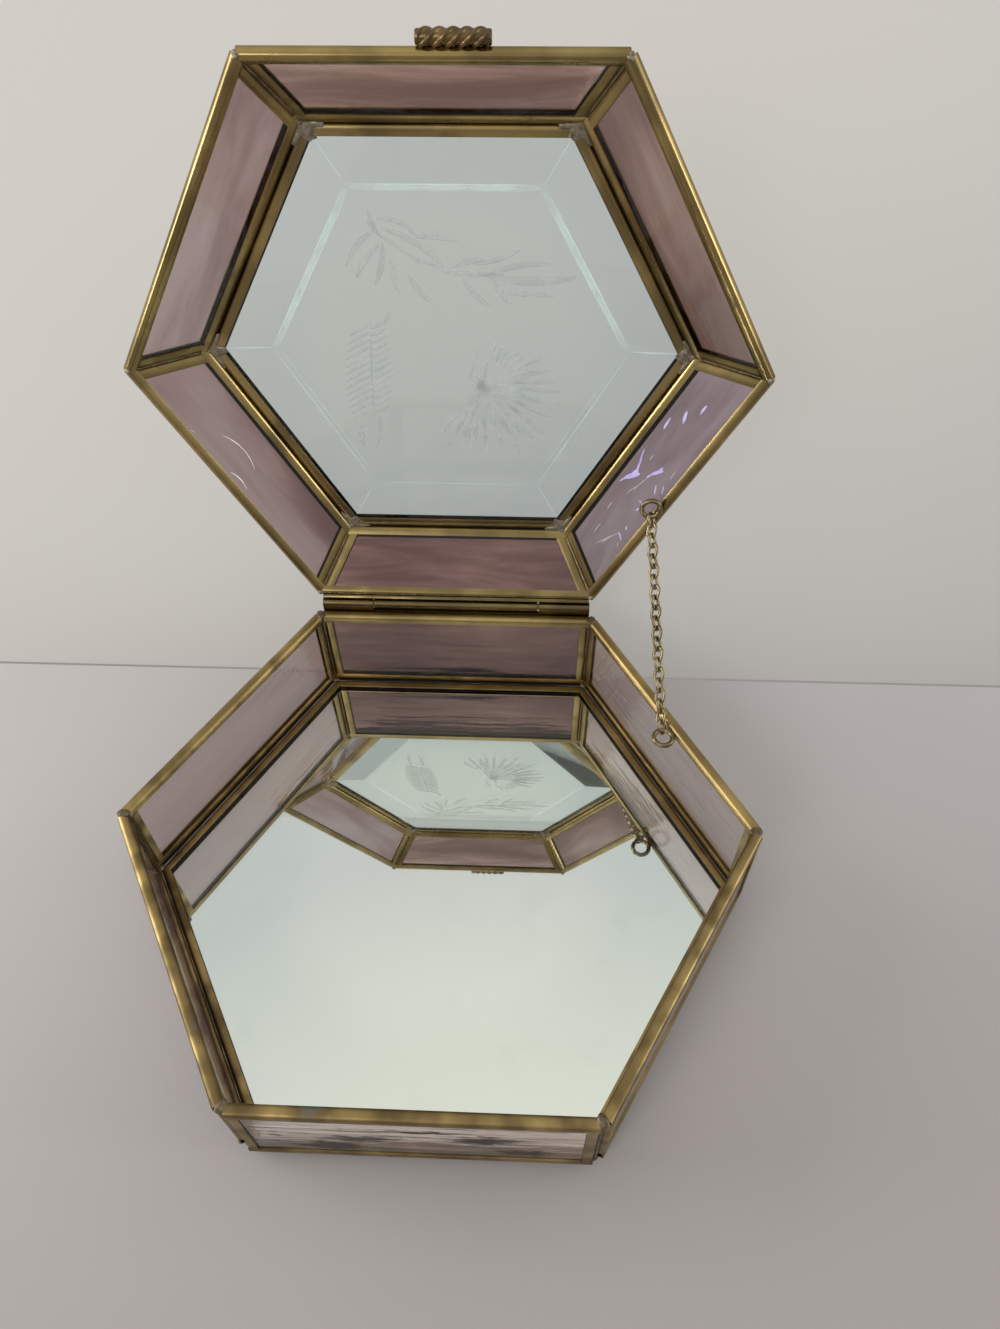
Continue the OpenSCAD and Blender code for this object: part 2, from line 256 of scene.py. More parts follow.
class Sheet:
    """One material and the nodes on it."""

    def __init__(self, name: str) -> None:
        """Starts a material with a Principled shader.

        Args:
            name: Name of the material.
        """
        self.material = bpy.data.materials.new(name)
        self.material.use_nodes = True
        self.nodes = self.material.node_tree.nodes
        self.links = self.material.node_tree.links
        self.shader = next(n for n in self.nodes if n.type == "BSDF_PRINCIPLED")

    def add(self, kind: str, settings: dict[str, Any], inputs: dict[Any, Any], output: Any = 0) -> Value:
        """Adds a node.

        Args:
            kind: The node's type.
            settings: Its own settings, set first; "stops" fills a colour ramp.
            inputs: A value or a linked Value for each input, by name or place.
            output: Name or place of the output to return.

        Returns:
            The chosen output.
        """
        node = self.nodes.new(kind)
        for key, setting in settings.items():
            if key == "stops":
                self._stops(node.color_ramp, setting)
            else:
                setattr(node, key, setting)
        for key, value in inputs.items():
            self.feed(node.inputs[key], value)
        return Value(self, node.outputs[output])

    def feed(self, socket: bpy.types.NodeSocket, value: Any) -> None:
        """Links a Value to a socket, or sets a constant there."""
        if isinstance(value, Value):
            self.links.new(value.socket, socket)
        elif isinstance(value, tuple) and len(value) == 3 and socket.type == "RGBA":
            socket.default_value = (*value, 1.0)
        else:
            socket.default_value = value

    @staticmethod
    def _stops(ramp: bpy.types.ColorRamp, stops: Sequence[tuple[float, Colour]]) -> None:
        """Fills a colour ramp."""
        while len(ramp.elements) < len(stops):
            ramp.elements.new(0.5)
        for element, (place, colour) in zip(ramp.elements, stops):
            element.position = place
            element.color = (*colour, 1.0)

    def place(self, frame: Matrix | None = None, stretch: Point = (1, 1, 1)) -> Value:
        """Object coordinates in millimetres, seen from a frame.

        Args:
            frame: The frame in millimetres, or none for the box's own.
            stretch: How much the pattern is drawn out along each axis.

        Returns:
            The vector for a texture.
        """
        here = self.add("ShaderNodeTexCoord", {}, {}, "Object")
        frame = frame or Matrix.Identity(4)
        mapping = {
            "Vector": here,
            "Location": frame.translation * 0.001,
            "Rotation": frame.to_euler(),
            "Scale": tuple(0.001 * s for s in stretch),
        }
        return self.add("ShaderNodeMapping", {"vector_type": "TEXTURE"}, mapping)

    def noise(self, where: Value, scale: float, detail: float = 3, roughness: float = 0.5, bend: float = 0) -> Value:
        """Noise between 0 and 1 at a scale per millimetre."""
        inputs = {"Vector": where, "Scale": scale, "Detail": detail, "Roughness": roughness, "Distortion": bend}
        return self.add("ShaderNodeTexNoise", {}, inputs)

    def mix(self, a: Any, b: Any, share: Any) -> Value:
        """Mixes two colours."""
        return self.add("ShaderNodeMix", {"data_type": "RGBA"}, {0: share, 6: a, 7: b}, 2)

    def bump(self, height: Value, depth: float, strength: float = 1.0) -> Value:
        """Normal from a height that varies by depth millimetres."""
        return self.add("ShaderNodeBump", {}, {"Height": height, "Distance": depth * 0.001, "Strength": strength}, 0)

    def set(self, **inputs: Any) -> "Sheet":
        """Feeds the Principled shader; underscores stand for spaces in the sockets' names."""
        for key, value in inputs.items():
            self.feed(self.shader.inputs[key.replace("_", " ")], value)
        return self


# Finishes


@dataclass(frozen=True)
class AgedBrass:
    """Drawn brass, handled for years: smooth olive and gold, brown patches, and a little grey bloom."""

    name: str
    gold: Colour = (0.40, 0.295, 0.120)
    olive: Colour = (0.235, 0.175, 0.075)
    brown: Colour = (0.115, 0.080, 0.038)
    bloom: Colour = (0.19, 0.19, 0.18)
    bloom_share: float = 0.0
    brown_share: float = 0.0
    shine: float = 0.24
    toward: Point = (0.0, 0.0, 0.0)

    def make(self) -> bpy.types.Material:
        """Builds the material."""
        sheet = Sheet(self.name)
        here = sheet.place()
        patches = sheet.noise(here, 0.07, 2, 0.4, 0.4)
        cloud = sheet.noise(here, 0.15, 2, 0.4)
        specks = sheet.noise(here, 1.8, 2, 0.5)
        place = sheet.add("ShaderNodeVectorMath", {"operation": "DOT_PRODUCT"}, {0: here, 1: self.toward}, "Value")
        worn = patches * 0.35 + cloud * 0.65 + place
        browned = worn.between(0.54 - self.brown_share, 0.78 - self.brown_share)
        bloomed = (worn + specks * 0.08).between(0.80 - self.bloom_share, 0.88 - self.bloom_share)
        colour = sheet.mix(self.olive, self.gold, patches.between(0.36, 0.66))
        colour = sheet.mix(colour, self.brown, browned * 0.75)
        colour = sheet.mix(colour, self.brown, specks.between(0.62, 0.80) * 0.2)
        colour = sheet.mix(colour, self.bloom, bloomed * 0.75)
        rough = cloud * 0.10 + browned * 0.14 + bloomed * 0.12 + (self.shine - 0.05)
        normal = sheet.bump(cloud + specks * 0.10, 0.05, 0.10)
        sheet.set(Metallic=1.0, Base_Color=colour, Roughness=rough, Normal=normal)
        return sheet.material


@dataclass(frozen=True)
class BlackLining:
    """Black-brown lining of the channel's slot, and of the beads that paint the shade in the grooves at the joints."""

    name: str
    black: Colour = (0.005, 0.004, 0.003)
    brown: Colour = (0.014, 0.010, 0.007)

    def make(self) -> bpy.types.Material:
        """Builds the material."""
        sheet = Sheet(self.name)
        cloud = sheet.noise(sheet.place(), 0.8, 4, 0.6)
        sheet.set(Base_Color=sheet.mix(self.black, self.brown, cloud), Roughness=cloud * 0.2 + 0.6)
        sheet.set(Specular_IOR_Level=0.15)
        return sheet.material


@dataclass(frozen=True)
class StreakyGlass:
    """Mauve cathedral glass with wispy streaks along the pane and slow waves."""

    name: str
    frame: Matrix
    pale: Colour = (0.57, 0.45, 0.44)
    mauve: Colour = (0.41, 0.285, 0.28)
    deep: Colour = (0.235, 0.14, 0.145)
    grey: Colour = (0.40, 0.325, 0.355)
    deepness: float = 0.0
    streaks: float = 0.45
    waves: float = 0.10
    painted_shade_up: float = 0.0
    foot: float = 0.0

    def make(self) -> bpy.types.Material:
        """Builds the material."""
        sheet = Sheet(self.name)
        along = sheet.place(self.frame, (7.0, 1, 1))
        wisps = sheet.noise(along, 0.15, 4, 0.6, 0.9)
        clouds = sheet.noise(sheet.place(self.frame, (2.5, 1, 1)), 0.035, 2, 0.5, 0.5)
        # Painted shade: on the lid's panes the glass darkens steadily up the slope, toward the clear pane's frame.
        up = sheet.add("ShaderNodeVectorMath", {"operation": "DOT_PRODUCT"},
                       {0: sheet.place(self.frame), 1: (0, 0, self.painted_shade_up)}, "Value")
        shade = wisps * self.streaks + clouds * (1 - self.streaks) - up
        shade = (shade - (self.deepness + self.foot * self.painted_shade_up)).between(0.34, 0.66)
        colour = sheet.add(
            "ShaderNodeValToRGB",
            {"stops": ((0.0, self.deep), (0.5, self.mauve), (1.0, self.pale))},
            {"Fac": shade},
        )
        cooler = sheet.noise(along, 0.06, 3, 0.5, 0.6).between(0.40, 0.66)
        colour = sheet.mix(colour, self.grey, cooler * 0.3)
        ripple = sheet.noise(along, 0.35, 3, 0.5, 0.4)
        rough = wisps * 0.03 + 0.01
        normal = sheet.bump(ripple, self.waves, 0.6)
        sheet.set(Transmission_Weight=1.0, IOR=1.5, Base_Color=colour, Roughness=rough, Normal=normal)
        return sheet.material


@dataclass(frozen=True)
class ClearPlate:
    """Clear polished plate glass, a little bluer toward its rim, with a few smudges."""

    name: str
    tint: Colour = (0.815, 0.90, 0.895)
    edge: Colour = (0.775, 0.86, 0.895)
    frame: Matrix | None = None

    def make(self) -> bpy.types.Material:
        """Builds the material."""
        sheet = Sheet(self.name)
        smudge = sheet.noise(sheet.place(), 0.05, 4, 0.6, 0.8)
        flat = sheet.add("ShaderNodeVectorMath", {"operation": "MULTIPLY"}, {0: sheet.place(self.frame), 1: (1, 1, 0)})
        out = sheet.add("ShaderNodeVectorMath", {"operation": "LENGTH"}, {0: flat}, "Value")
        colour = sheet.mix(self.tint, self.edge, (out + smudge * 10).between(34, 56))
        rough = smudge.between(0.55, 0.75) * 0.03 + 0.004
        sheet.set(Transmission_Weight=1.0, IOR=1.5, Base_Color=colour, Roughness=rough)
        return sheet.material


@dataclass(frozen=True)
class WheelCut:
    """The half-polished floor of a cut in glass, a polished edge, a scratch, or a painted glint; its glow paints light
    onto it.
    """

    name: str
    pale: Colour = (0.90, 0.95, 0.93)
    dull: Colour = (0.74, 0.80, 0.79)
    cover: float = 0.27
    glow: float = 0.0

    def make(self) -> bpy.types.Material:
        """Builds the material."""
        sheet = Sheet(self.name)
        grain = sheet.noise(sheet.place(), 0.25, 3, 0.5)
        colour = sheet.mix(self.dull, self.pale, grain.between(0.35, 0.65))
        sheet.set(Base_Color=colour, Roughness=grain * 0.2 + 0.2, Alpha=self.cover)
        # Painted highlight: the glow makes the mark brighter than the light on it.
        if self.glow:
            sheet.set(Emission_Color=colour, Emission_Strength=self.glow)
        return sheet.material


@dataclass(frozen=True)
class SilverBacking:
    """Silver on the back of the mirror, with a little grey bloom."""

    name: str
    silver: Colour = (0.93, 0.94, 0.92)

    def make(self) -> bpy.types.Material:
        """Builds the material."""
        sheet = Sheet(self.name)
        bloom = sheet.noise(sheet.place(), 0.06, 5, 0.6)
        colour = sheet.mix(self.silver, (0.84, 0.86, 0.84), bloom.between(0.5, 0.8) * 0.5)
        sheet.set(Metallic=1.0, Base_Color=colour, Roughness=bloom.between(0.6, 0.9) * 0.03 + 0.008)
        return sheet.material


@dataclass(frozen=True)
class Solder:
    """Dull tin solder, lumpy and dark in its hollows."""

    name: str
    light: Colour = (0.35, 0.31, 0.24)
    dark: Colour = (0.20, 0.16, 0.11)

    def make(self) -> bpy.types.Material:
        """Builds the material."""
        sheet = Sheet(self.name)
        here = sheet.place()
        mottle = sheet.noise(here, 0.9, 5, 0.65, 0.5)
        grit = sheet.noise(here, 4.0, 3, 0.6)
        colour = sheet.mix(self.dark, self.light, mottle.between(0.35, 0.65))
        normal = sheet.bump(mottle + grit * 0.4, 0.12, 0.7)
        sheet.set(Metallic=0.9, Base_Color=colour, Roughness=grit * 0.25 + 0.3, Normal=normal)
        return sheet.material


@dataclass(frozen=True)
class PaleBoard:
    """Pale painted board for the floor and the backdrop."""

    name: str
    light: Colour
    shade: Colour
    toward: Point
    near: float
    far: float
    even: float = 0.0

    def make(self) -> bpy.types.Material:
        """Builds the material; an even board's tone depends less on the light, and it doesn't hide what is before it."""
        sheet = Sheet(self.name)
        here = sheet.place()
        place = sheet.add("ShaderNodeVectorMath", {"operation": "DOT_PRODUCT"}, {0: here, 1: self.toward}, "Value")
        cloud = sheet.noise(here, 0.006, 3, 0.5)
        colour = sheet.mix(self.light, self.shade, (place + cloud * 60 - 30).between(self.near, self.far))
        sheet.set(Base_Color=colour, Roughness=0.8)
        if self.even:
            path = [sheet.add("ShaderNodeLightPath", {}, {}, f"Is {ray} Ray") for ray in ("Camera", "Glossy", "Transmission")]
            seen = sheet.add("ShaderNodeMath", {"operation": "MAXIMUM"}, {0: path[0], 1: path[1]})
            seen = sheet.add("ShaderNodeMath", {"operation": "MAXIMUM"}, {0: seen, 1: path[2]})
            glow = sheet.add("ShaderNodeEmission", {}, {"Color": colour, "Strength": 1.0})
            board = Value(sheet, sheet.shader.outputs[0])
            rise = sheet.add("ShaderNodeVectorMath", {"operation": "DOT_PRODUCT"}, {0: here, 1: (0, 0, 1)}, "Value")
            share = seen * rise.between(-45, 45) * self.even
            mixed = sheet.add("ShaderNodeMixShader", {}, {0: share, 1: board, 2: glow})
            behind = sheet.add("ShaderNodeNewGeometry", {}, {}, "Backfacing") * path[0]
            clear = sheet.add("ShaderNodeBsdfTransparent", {}, {})
            mixed = sheet.add("ShaderNodeMixShader", {}, {0: behind, 1: mixed, 2: clear})
            out = next(n for n in sheet.nodes if n.type == "OUTPUT_MATERIAL")
            sheet.feed(out.inputs["Surface"], mixed)
        return sheet.material


# Meshes


def keep_mesh(name: str, mesh: bmesh.types.BMesh, frame: Matrix, body: Body | None,
              finishes: Sequence[bpy.types.Material], crease: float = 35.0) -> bpy.types.Object:
    """Turns a bmesh in millimetres into a finished piece.

    Args:
        name: Name of the piece.
        mesh: Its shape, in the frame's own millimetres.
        frame: Where it stands in the box.
        body: The body it rides on, or none for the surroundings.
        finishes: Its materials.
        crease: Angle in degrees from which an edge shows as sharp.

    Returns:
        The object, at the origin.
    """
    mesh.transform(Matrix.Scale(0.001, 4) @ frame)
    for face in mesh.faces:
        face.smooth = True
    data = bpy.data.meshes.new(name)
    mesh.to_mesh(data)
    mesh.free()
    data.set_sharp_from_angle(angle=math.radians(crease))
    for finish in finishes:
        data.materials.append(finish)
    piece = bpy.data.objects.new(name, data)
    bpy.context.scene.collection.objects.link(piece)
    if body is not None:
        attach(piece, body.value)
    log.info("%s: %d faces", name, len(data.polygons))
    return piece


def strip_frame(start: Sequence[float], along: Sequence[float], legs: Sequence[float]) -> Matrix:
    """Frame of a strip of channel.

    Args:
        start: Middle of its back, where X is 0.
        along: Its direction.
        legs: Direction from its back to the ends of its legs.

    Returns:
        A frame with X along the strip, Y across its back and Z along its legs.
    """
    x, z = Vector(along).normalized(), Vector(legs).normalized()
    turn = Matrix((x, z.cross(x), z)).transposed().to_4x4()
    return Matrix.Translation(start) @ turn


def dress_node(node: str, finish: bpy.types.Material) -> None:
    """Gives a solid of the frame its finish."""
    piece = bpy.data.objects[node]
    piece.data.materials.clear()
    piece.data.materials.append(finish)


def paste(mesh: bmesh.types.BMesh, other: bmesh.types.BMesh) -> None:
    """Adds one bmesh to another and frees it."""
    data = bpy.data.meshes.new("pasted")
    other.to_mesh(data)
    other.free()
    mesh.from_mesh(data)
    bpy.data.meshes.remove(data)


def add_lump(mesh: bmesh.types.BMesh, centre: Vector, radii: Vector, turn: Matrix, seed: int, wobble: float = 0.16,
             fineness: int = 3) -> None:
    """Adds a drop of solder.

    Args:
        mesh: The bmesh that gets it.
        centre: Its middle.
        radii: Its three radii.
        turn: How it is turned.
        seed: Picks its unevenness.
        wobble: Unevenness, as a share of the radii.
        fineness: Subdivisions of its ball.
    """
    made = bmesh.ops.create_icosphere(mesh, subdivisions=fineness, radius=1.0)["verts"]
    shift = Vector((seed * 3.7, seed * 1.3, -seed * 2.1))
    for vert in made:
        vert.co *= 1 + wobble * noise.noise(vert.co * 1.6 + shift)
    bmesh.ops.scale(mesh, vec=radii, verts=made)
    bmesh.ops.transform(mesh, matrix=Matrix.Translation(centre) @ turn.to_4x4(), verts=made)


def add_bead(mesh: bmesh.types.BMesh, start: Vector, end: Vector, radius: float, seed: int, step: float = 0.5) -> None:
    """Adds an uneven round bead of solder between two points.

    Args:
        mesh: The bmesh that gets it.
        start: First end.
        end: Other end.
        radius: Its radius.
        seed: Picks its unevenness.
        step: Length of its sections.
    """
    along = end - start
    bead = bmesh.new()
    ring = bmesh.ops.create_circle(bead, cap_ends=True, segments=12, radius=radius)["verts"]
    face = ring[0].link_faces[0]
    steps = max(4, int(along.length / step))
    for _ in range(steps):
        grown = bmesh.ops.extrude_face_region(bead, geom=[face])["geom"]
        verts = [g for g in grown if isinstance(g, bmesh.types.BMVert)]
        face = next(g for g in grown if isinstance(g, bmesh.types.BMFace))
        bmesh.ops.translate(bead, vec=(0, 0, along.length / steps), verts=verts)
    shift = Vector((seed * 1.7, -seed * 2.3, seed * 0.9))
    for vert in bead.verts:
        swell = 1 + 0.22 * noise.noise(Vector((0, 0, vert.co.z * 0.35)) + shift) + 0.10 * noise.noise(vert.co + shift)
        vert.co.x *= swell
        vert.co.y *= swell
    bmesh.ops.recalc_face_normals(bead, faces=bead.faces[:])
    bead.transform(Matrix.Translation(start) @ along.to_track_quat("Z", "Y").to_matrix().to_4x4())
    paste(mesh, bead)


def add_cut(mesh: bmesh.types.BMesh, start: Sequence[float], end: Sequence[float], width: float, depth: float,
            bend: float = 0.0) -> None:
    """Adds one lens-shaped stroke in the plane of X and Y.

    Args:
        mesh: The bmesh that gets it.
        start: One end.
        end: Other end.
        width: Width in its middle.
        depth: Thickness in its middle.
        bend: How far its middle bows to the left of its way.
    """
    a, b = Vector((start[0], start[1], 0)), Vector((end[0], end[1], 0))
    half = (b - a).length / 2
    cut = bmesh.new()
    turn = Matrix.Rotation(math.pi / 2, 4, "Y")
    bmesh.ops.create_uvsphere(cut, u_segments=12, v_segments=12, radius=1.0, matrix=turn)
    for vert in cut.verts:
        x = vert.co.x
        vert.co = Vector((x * half, vert.co.y * width / 2 + bend * (1 - x * x), vert.co.z * depth / 2))
    aim = Matrix.Rotation(math.atan2(b.y - a.y, b.x - a.x), 4, "Z")
    cut.transform(Matrix.Translation((a + b) / 2) @ aim)
    paste(mesh, cut)


def add_plate(mesh: bmesh.types.BMesh, low: Point, high: Point, frame: Matrix) -> None:
    """Adds a flat bar between two corners, with its edges broken."""
    size = Vector(high) - Vector(low)
    middle = (Vector(high) + Vector(low)) / 2
    place = Matrix.Translation(middle) @ Matrix.Diagonal((*size, 1))
    made = bmesh.ops.create_cube(mesh, size=1.0, matrix=place)["verts"]
    edges = list({e for v in made for e in v.link_edges})
    cut = bmesh.ops.bevel(mesh, geom=edges, offset=0.08, segments=2, profile=0.5, affect="EDGES", material=-1)["verts"]
    bmesh.ops.transform(mesh, matrix=frame, verts=list({*cut, *(v for v in made if v.is_valid)}))


def add_torus(mesh: bmesh.types.BMesh, radius: float, wire: float, steps: int = 24, sides: int = 10,
              stretch: float = 0.0) -> list[bmesh.types.BMVert]:
    """Adds a wire ring in the plane of X and Z.

    Args:
        mesh: The bmesh that gets it.
        radius: Radius of the middle of the wire.
        wire: Diameter of the wire.
        steps: Steps round the ring.
        sides: Sides of the wire.
        stretch: Length of the straight stretches that make it oval along Z.

    Returns:
        The ring's vertices.
    """
    before = set(mesh.verts)
    turn = Matrix.Translation((radius, 0, 0))
    section = bmesh.ops.create_circle(mesh, segments=sides, radius=wire / 2, matrix=turn)["verts"]
    edges = list({e for v in section for e in v.link_edges})
    bmesh.ops.spin(mesh, geom=section + edges, cent=(0, 0, 0), axis=(0, 1, 0), angle=2 * math.pi, steps=steps,
                   use_merge=True)
    made = [v for v in mesh.verts if v not in before]
    bmesh.ops.translate(mesh, vec=(0, 0, stretch / 2), verts=[v for v in made if v.co.z > 1e-6])
    bmesh.ops.translate(mesh, vec=(0, 0, -stretch / 2), verts=[v for v in made if v.co.z < -1e-6])
    return made


# Sub-assemblies


@dataclass
class Framework:
    """Brass channel of the walls, the floor, the lid's panes and the clear pane."""

    sizes: BoxSizes = SIZES
    wall: float = 0.35
    kerf: float = 0.05
    roundness: float = 2.45
    turn_in: float = 0.07
    lap: float = 0.55
    snug: float = 0.28
    back_steps: int = 20
    leg_steps: int = 5
    base_brass: AgedBrass = AgedBrass("base brass", (0.465, 0.335, 0.14), (0.28, 0.20, 0.085), bloom_share=0.05, brown_share=0.08, shine=0.36,
                                      toward=(-0.0006, -0.0012, 0.0))
    lid_brass: AgedBrass = AgedBrass("lid brass")

    def _section(self, lap: float, snug: float) -> list[tuple[float, float]]:
        """Lays out the channel's section, round the outside and then back through the slot.

        Args:
            lap: How much longer its outer leg is than its inner one.
            snug: How far its back lies into the solder of the joint behind it.

        Returns:
            Its points, across and up.
        """
        half, leg = self.sizes.came_web / 2, self.sizes.came_leg
        waist = leg * 0.52
        rises = [1 - i / self.leg_steps for i in range(self.leg_steps)]
        points = [(half * (1 - self.turn_in * r**2), waist + (leg + lap - waist) * r) for r in rises]
        for i in range(self.back_steps + 1):
            turn = math.pi * i / self.back_steps
            across, down = math.cos(turn), math.sin(turn)
            y = half * math.copysign(abs(across) ** (2 / self.roundness), across)
            points.append((y, waist - (waist + snug) * down ** (2 / self.roundness)))
        points += [(-half * (1 - self.turn_in * r**2), waist + (leg - waist) * r) for r in reversed(rises)]
        inside = half - self.wall
        tip = inside - half * self.turn_in
        return points + [(-tip, leg), (-inside, self.wall), (inside, self.wall), (tip, leg + lap)]

    def _strip(self, mesh: bmesh.types.BMesh, frame: Matrix, foot: Callable[[float], float],
               head: Callable[[float], float], lap: float = 0.0, snug: float = 0.0) -> None:
        """Adds one strip of channel.

        Args:
            mesh: The bmesh that gets it.
            frame: The strip's frame, with Y towards its outer leg.
            foot: Where its first end is cut, from the height above its back.
            head: Where its other end is cut.
            lap: How much longer its outer leg is.
            snug: How far its back lies into the solder behind it.
        """
        section = self._section(lap, snug)
        ring = bmesh.ops.create_circle(mesh, cap_ends=True, segments=len(section), radius=1.0)["verts"]
        first = ring[0].link_faces[0]
        for vert, (y, z) in zip(list(first.verts), section):
            vert.co = Vector((foot(z), y, z))
        grown = bmesh.ops.extrude_face_region(mesh, geom=[first], use_keep_orig=True)["geom"]
        far = [g for g in grown if isinstance(g, bmesh.types.BMVert)]
        for vert in far:
            vert.co.x = head(vert.co.z)
        made = list({*ring, *far})
        inside = self.sizes.came_web / 2 - self.wall + 0.01
        for face in {f for v in made for f in v.link_faces}:
            middle = face.calc_center_median()
            if len(face.verts) == 4 and abs(middle.y) < inside and middle.z > self.wall - 0.01:
                face.material_index = 1
        bmesh.ops.recalc_face_normals(mesh, faces=list({f for v in made for f in v.link_faces}))
        bmesh.ops.transform(mesh, matrix=frame, verts=made)

    def _wall(self, side: Side) -> bmesh.types.BMesh:
        """Four butted strips round one wall."""
        s, mesh = self.sizes, bmesh.new()
        height, half, mid = s.base_h - s.came_web, s.side / 2 - s.film, s.came_web / 2
        for up, start in ((1, (0, mid, 0)), (-1, (0, mid, height))):
            self._strip(mesh, strip_frame(start, (up, 0, 0), (0, 0, up)), lambda z: -half, lambda z: half,
                        self.lap * 0.5)
        low, high = s.came_leg + self.kerf, height - s.came_leg - self.kerf
        for hand in (-1, 1):
            frame = strip_frame((hand * half, mid, 0), (0, 0, hand), (-hand, 0, 0))
            ends = sorted((hand * low, hand * high))
            self._strip(mesh, frame, lambda z: ends[0], lambda z: ends[1])
        return mesh

    def _pane(self) -> bmesh.types.BMesh:
        """Four strips round one sloping pane, the sides cut to its lean."""
        s, mesh = self.sizes, bmesh.new()
        lean = math.atan2((s.lid_side - s.crown_side) / 2, s.slant)
        mid, tan, cos, sin = s.came_web / 2, math.tan(lean), math.cos(lean), math.sin(lean)

        def edge(up: float) -> float:
            """Half the pane's width at a height up the slope."""
            return s.lid_side / 2 - up * tan - s.film / cos

        top = s.slant - s.film
        self._strip(mesh, strip_frame((0, mid, s.film), (1, 0, 0), (0, 0, 1)),
                    lambda z: -edge(s.film + z), lambda z: edge(s.film + z))
        self._strip(mesh, strip_frame((0, mid, top), (-1, 0, 0), (0, 0, -1)),
                    lambda z: -edge(top - z), lambda z: edge(top - z), self.lap, self.snug)
        low, high = s.film + s.came_leg + self.kerf, top - s.came_leg - self.kerf
        for hand in (-1, 1):
            frame = strip_frame((hand * edge(0), mid, 0), (-sin, 0, hand * cos), (-hand * cos, 0, -sin))
            ends = (low, high) if hand > 0 else (high, low)
            self._strip(mesh, frame, lambda z: hand * (ends[0] + z * sin) / cos, lambda z: hand * (ends[1] + z * sin) / cos,
                        snug=self.snug)
        return mesh

    def _ring(self, apothem: float, lap: float, snug: float) -> bmesh.types.BMesh:
        """Six mitred strips round a hexagonal plate that lies on Z = 0."""
        s, mesh = self.sizes, bmesh.new()
        tan = math.tan(math.pi / 6)
        for side in Side:
            frame = s.on_side(side, 0) @ strip_frame((0, apothem, s.came_web / 2), (1, 0, 0), (0, -1, 0))
            self._strip(mesh, frame, lambda z: -(apothem - z) * tan + self.kerf / 2,
                        lambda z: (apothem - z) * tan - self.kerf / 2, lap, snug)
        return mesh

    def build(self) -> None:
        """Builds every strip."""
        s = self.sizes
        lining = BlackLining("channel lining").make()
        base, lid = [self.base_brass.make(), lining], [self.lid_brass.make(), lining]
        for side in Side:
            wall = keep_mesh("wall_strips_" + side.word, self._wall(side), s.wall(side), Body.BASE, base)
            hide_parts("wall_came_" + side.word)
            pane = keep_mesh("lid_strips_" + side.word, self._pane(), s.pane(side), Body.LID, lid)
            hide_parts("lid_came_" + side.word)
        floor = keep_mesh("floor_strips", self._ring(s.base_ap, 0.0, 0.0), Matrix.Identity(4), Body.BASE, base)
        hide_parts("floor_came")
        crown = keep_mesh("crown_strips", self._ring(s.crown_ap, self.lap * 0.6, self.snug), s.crown(), Body.LID, lid)
        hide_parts("crown_came")


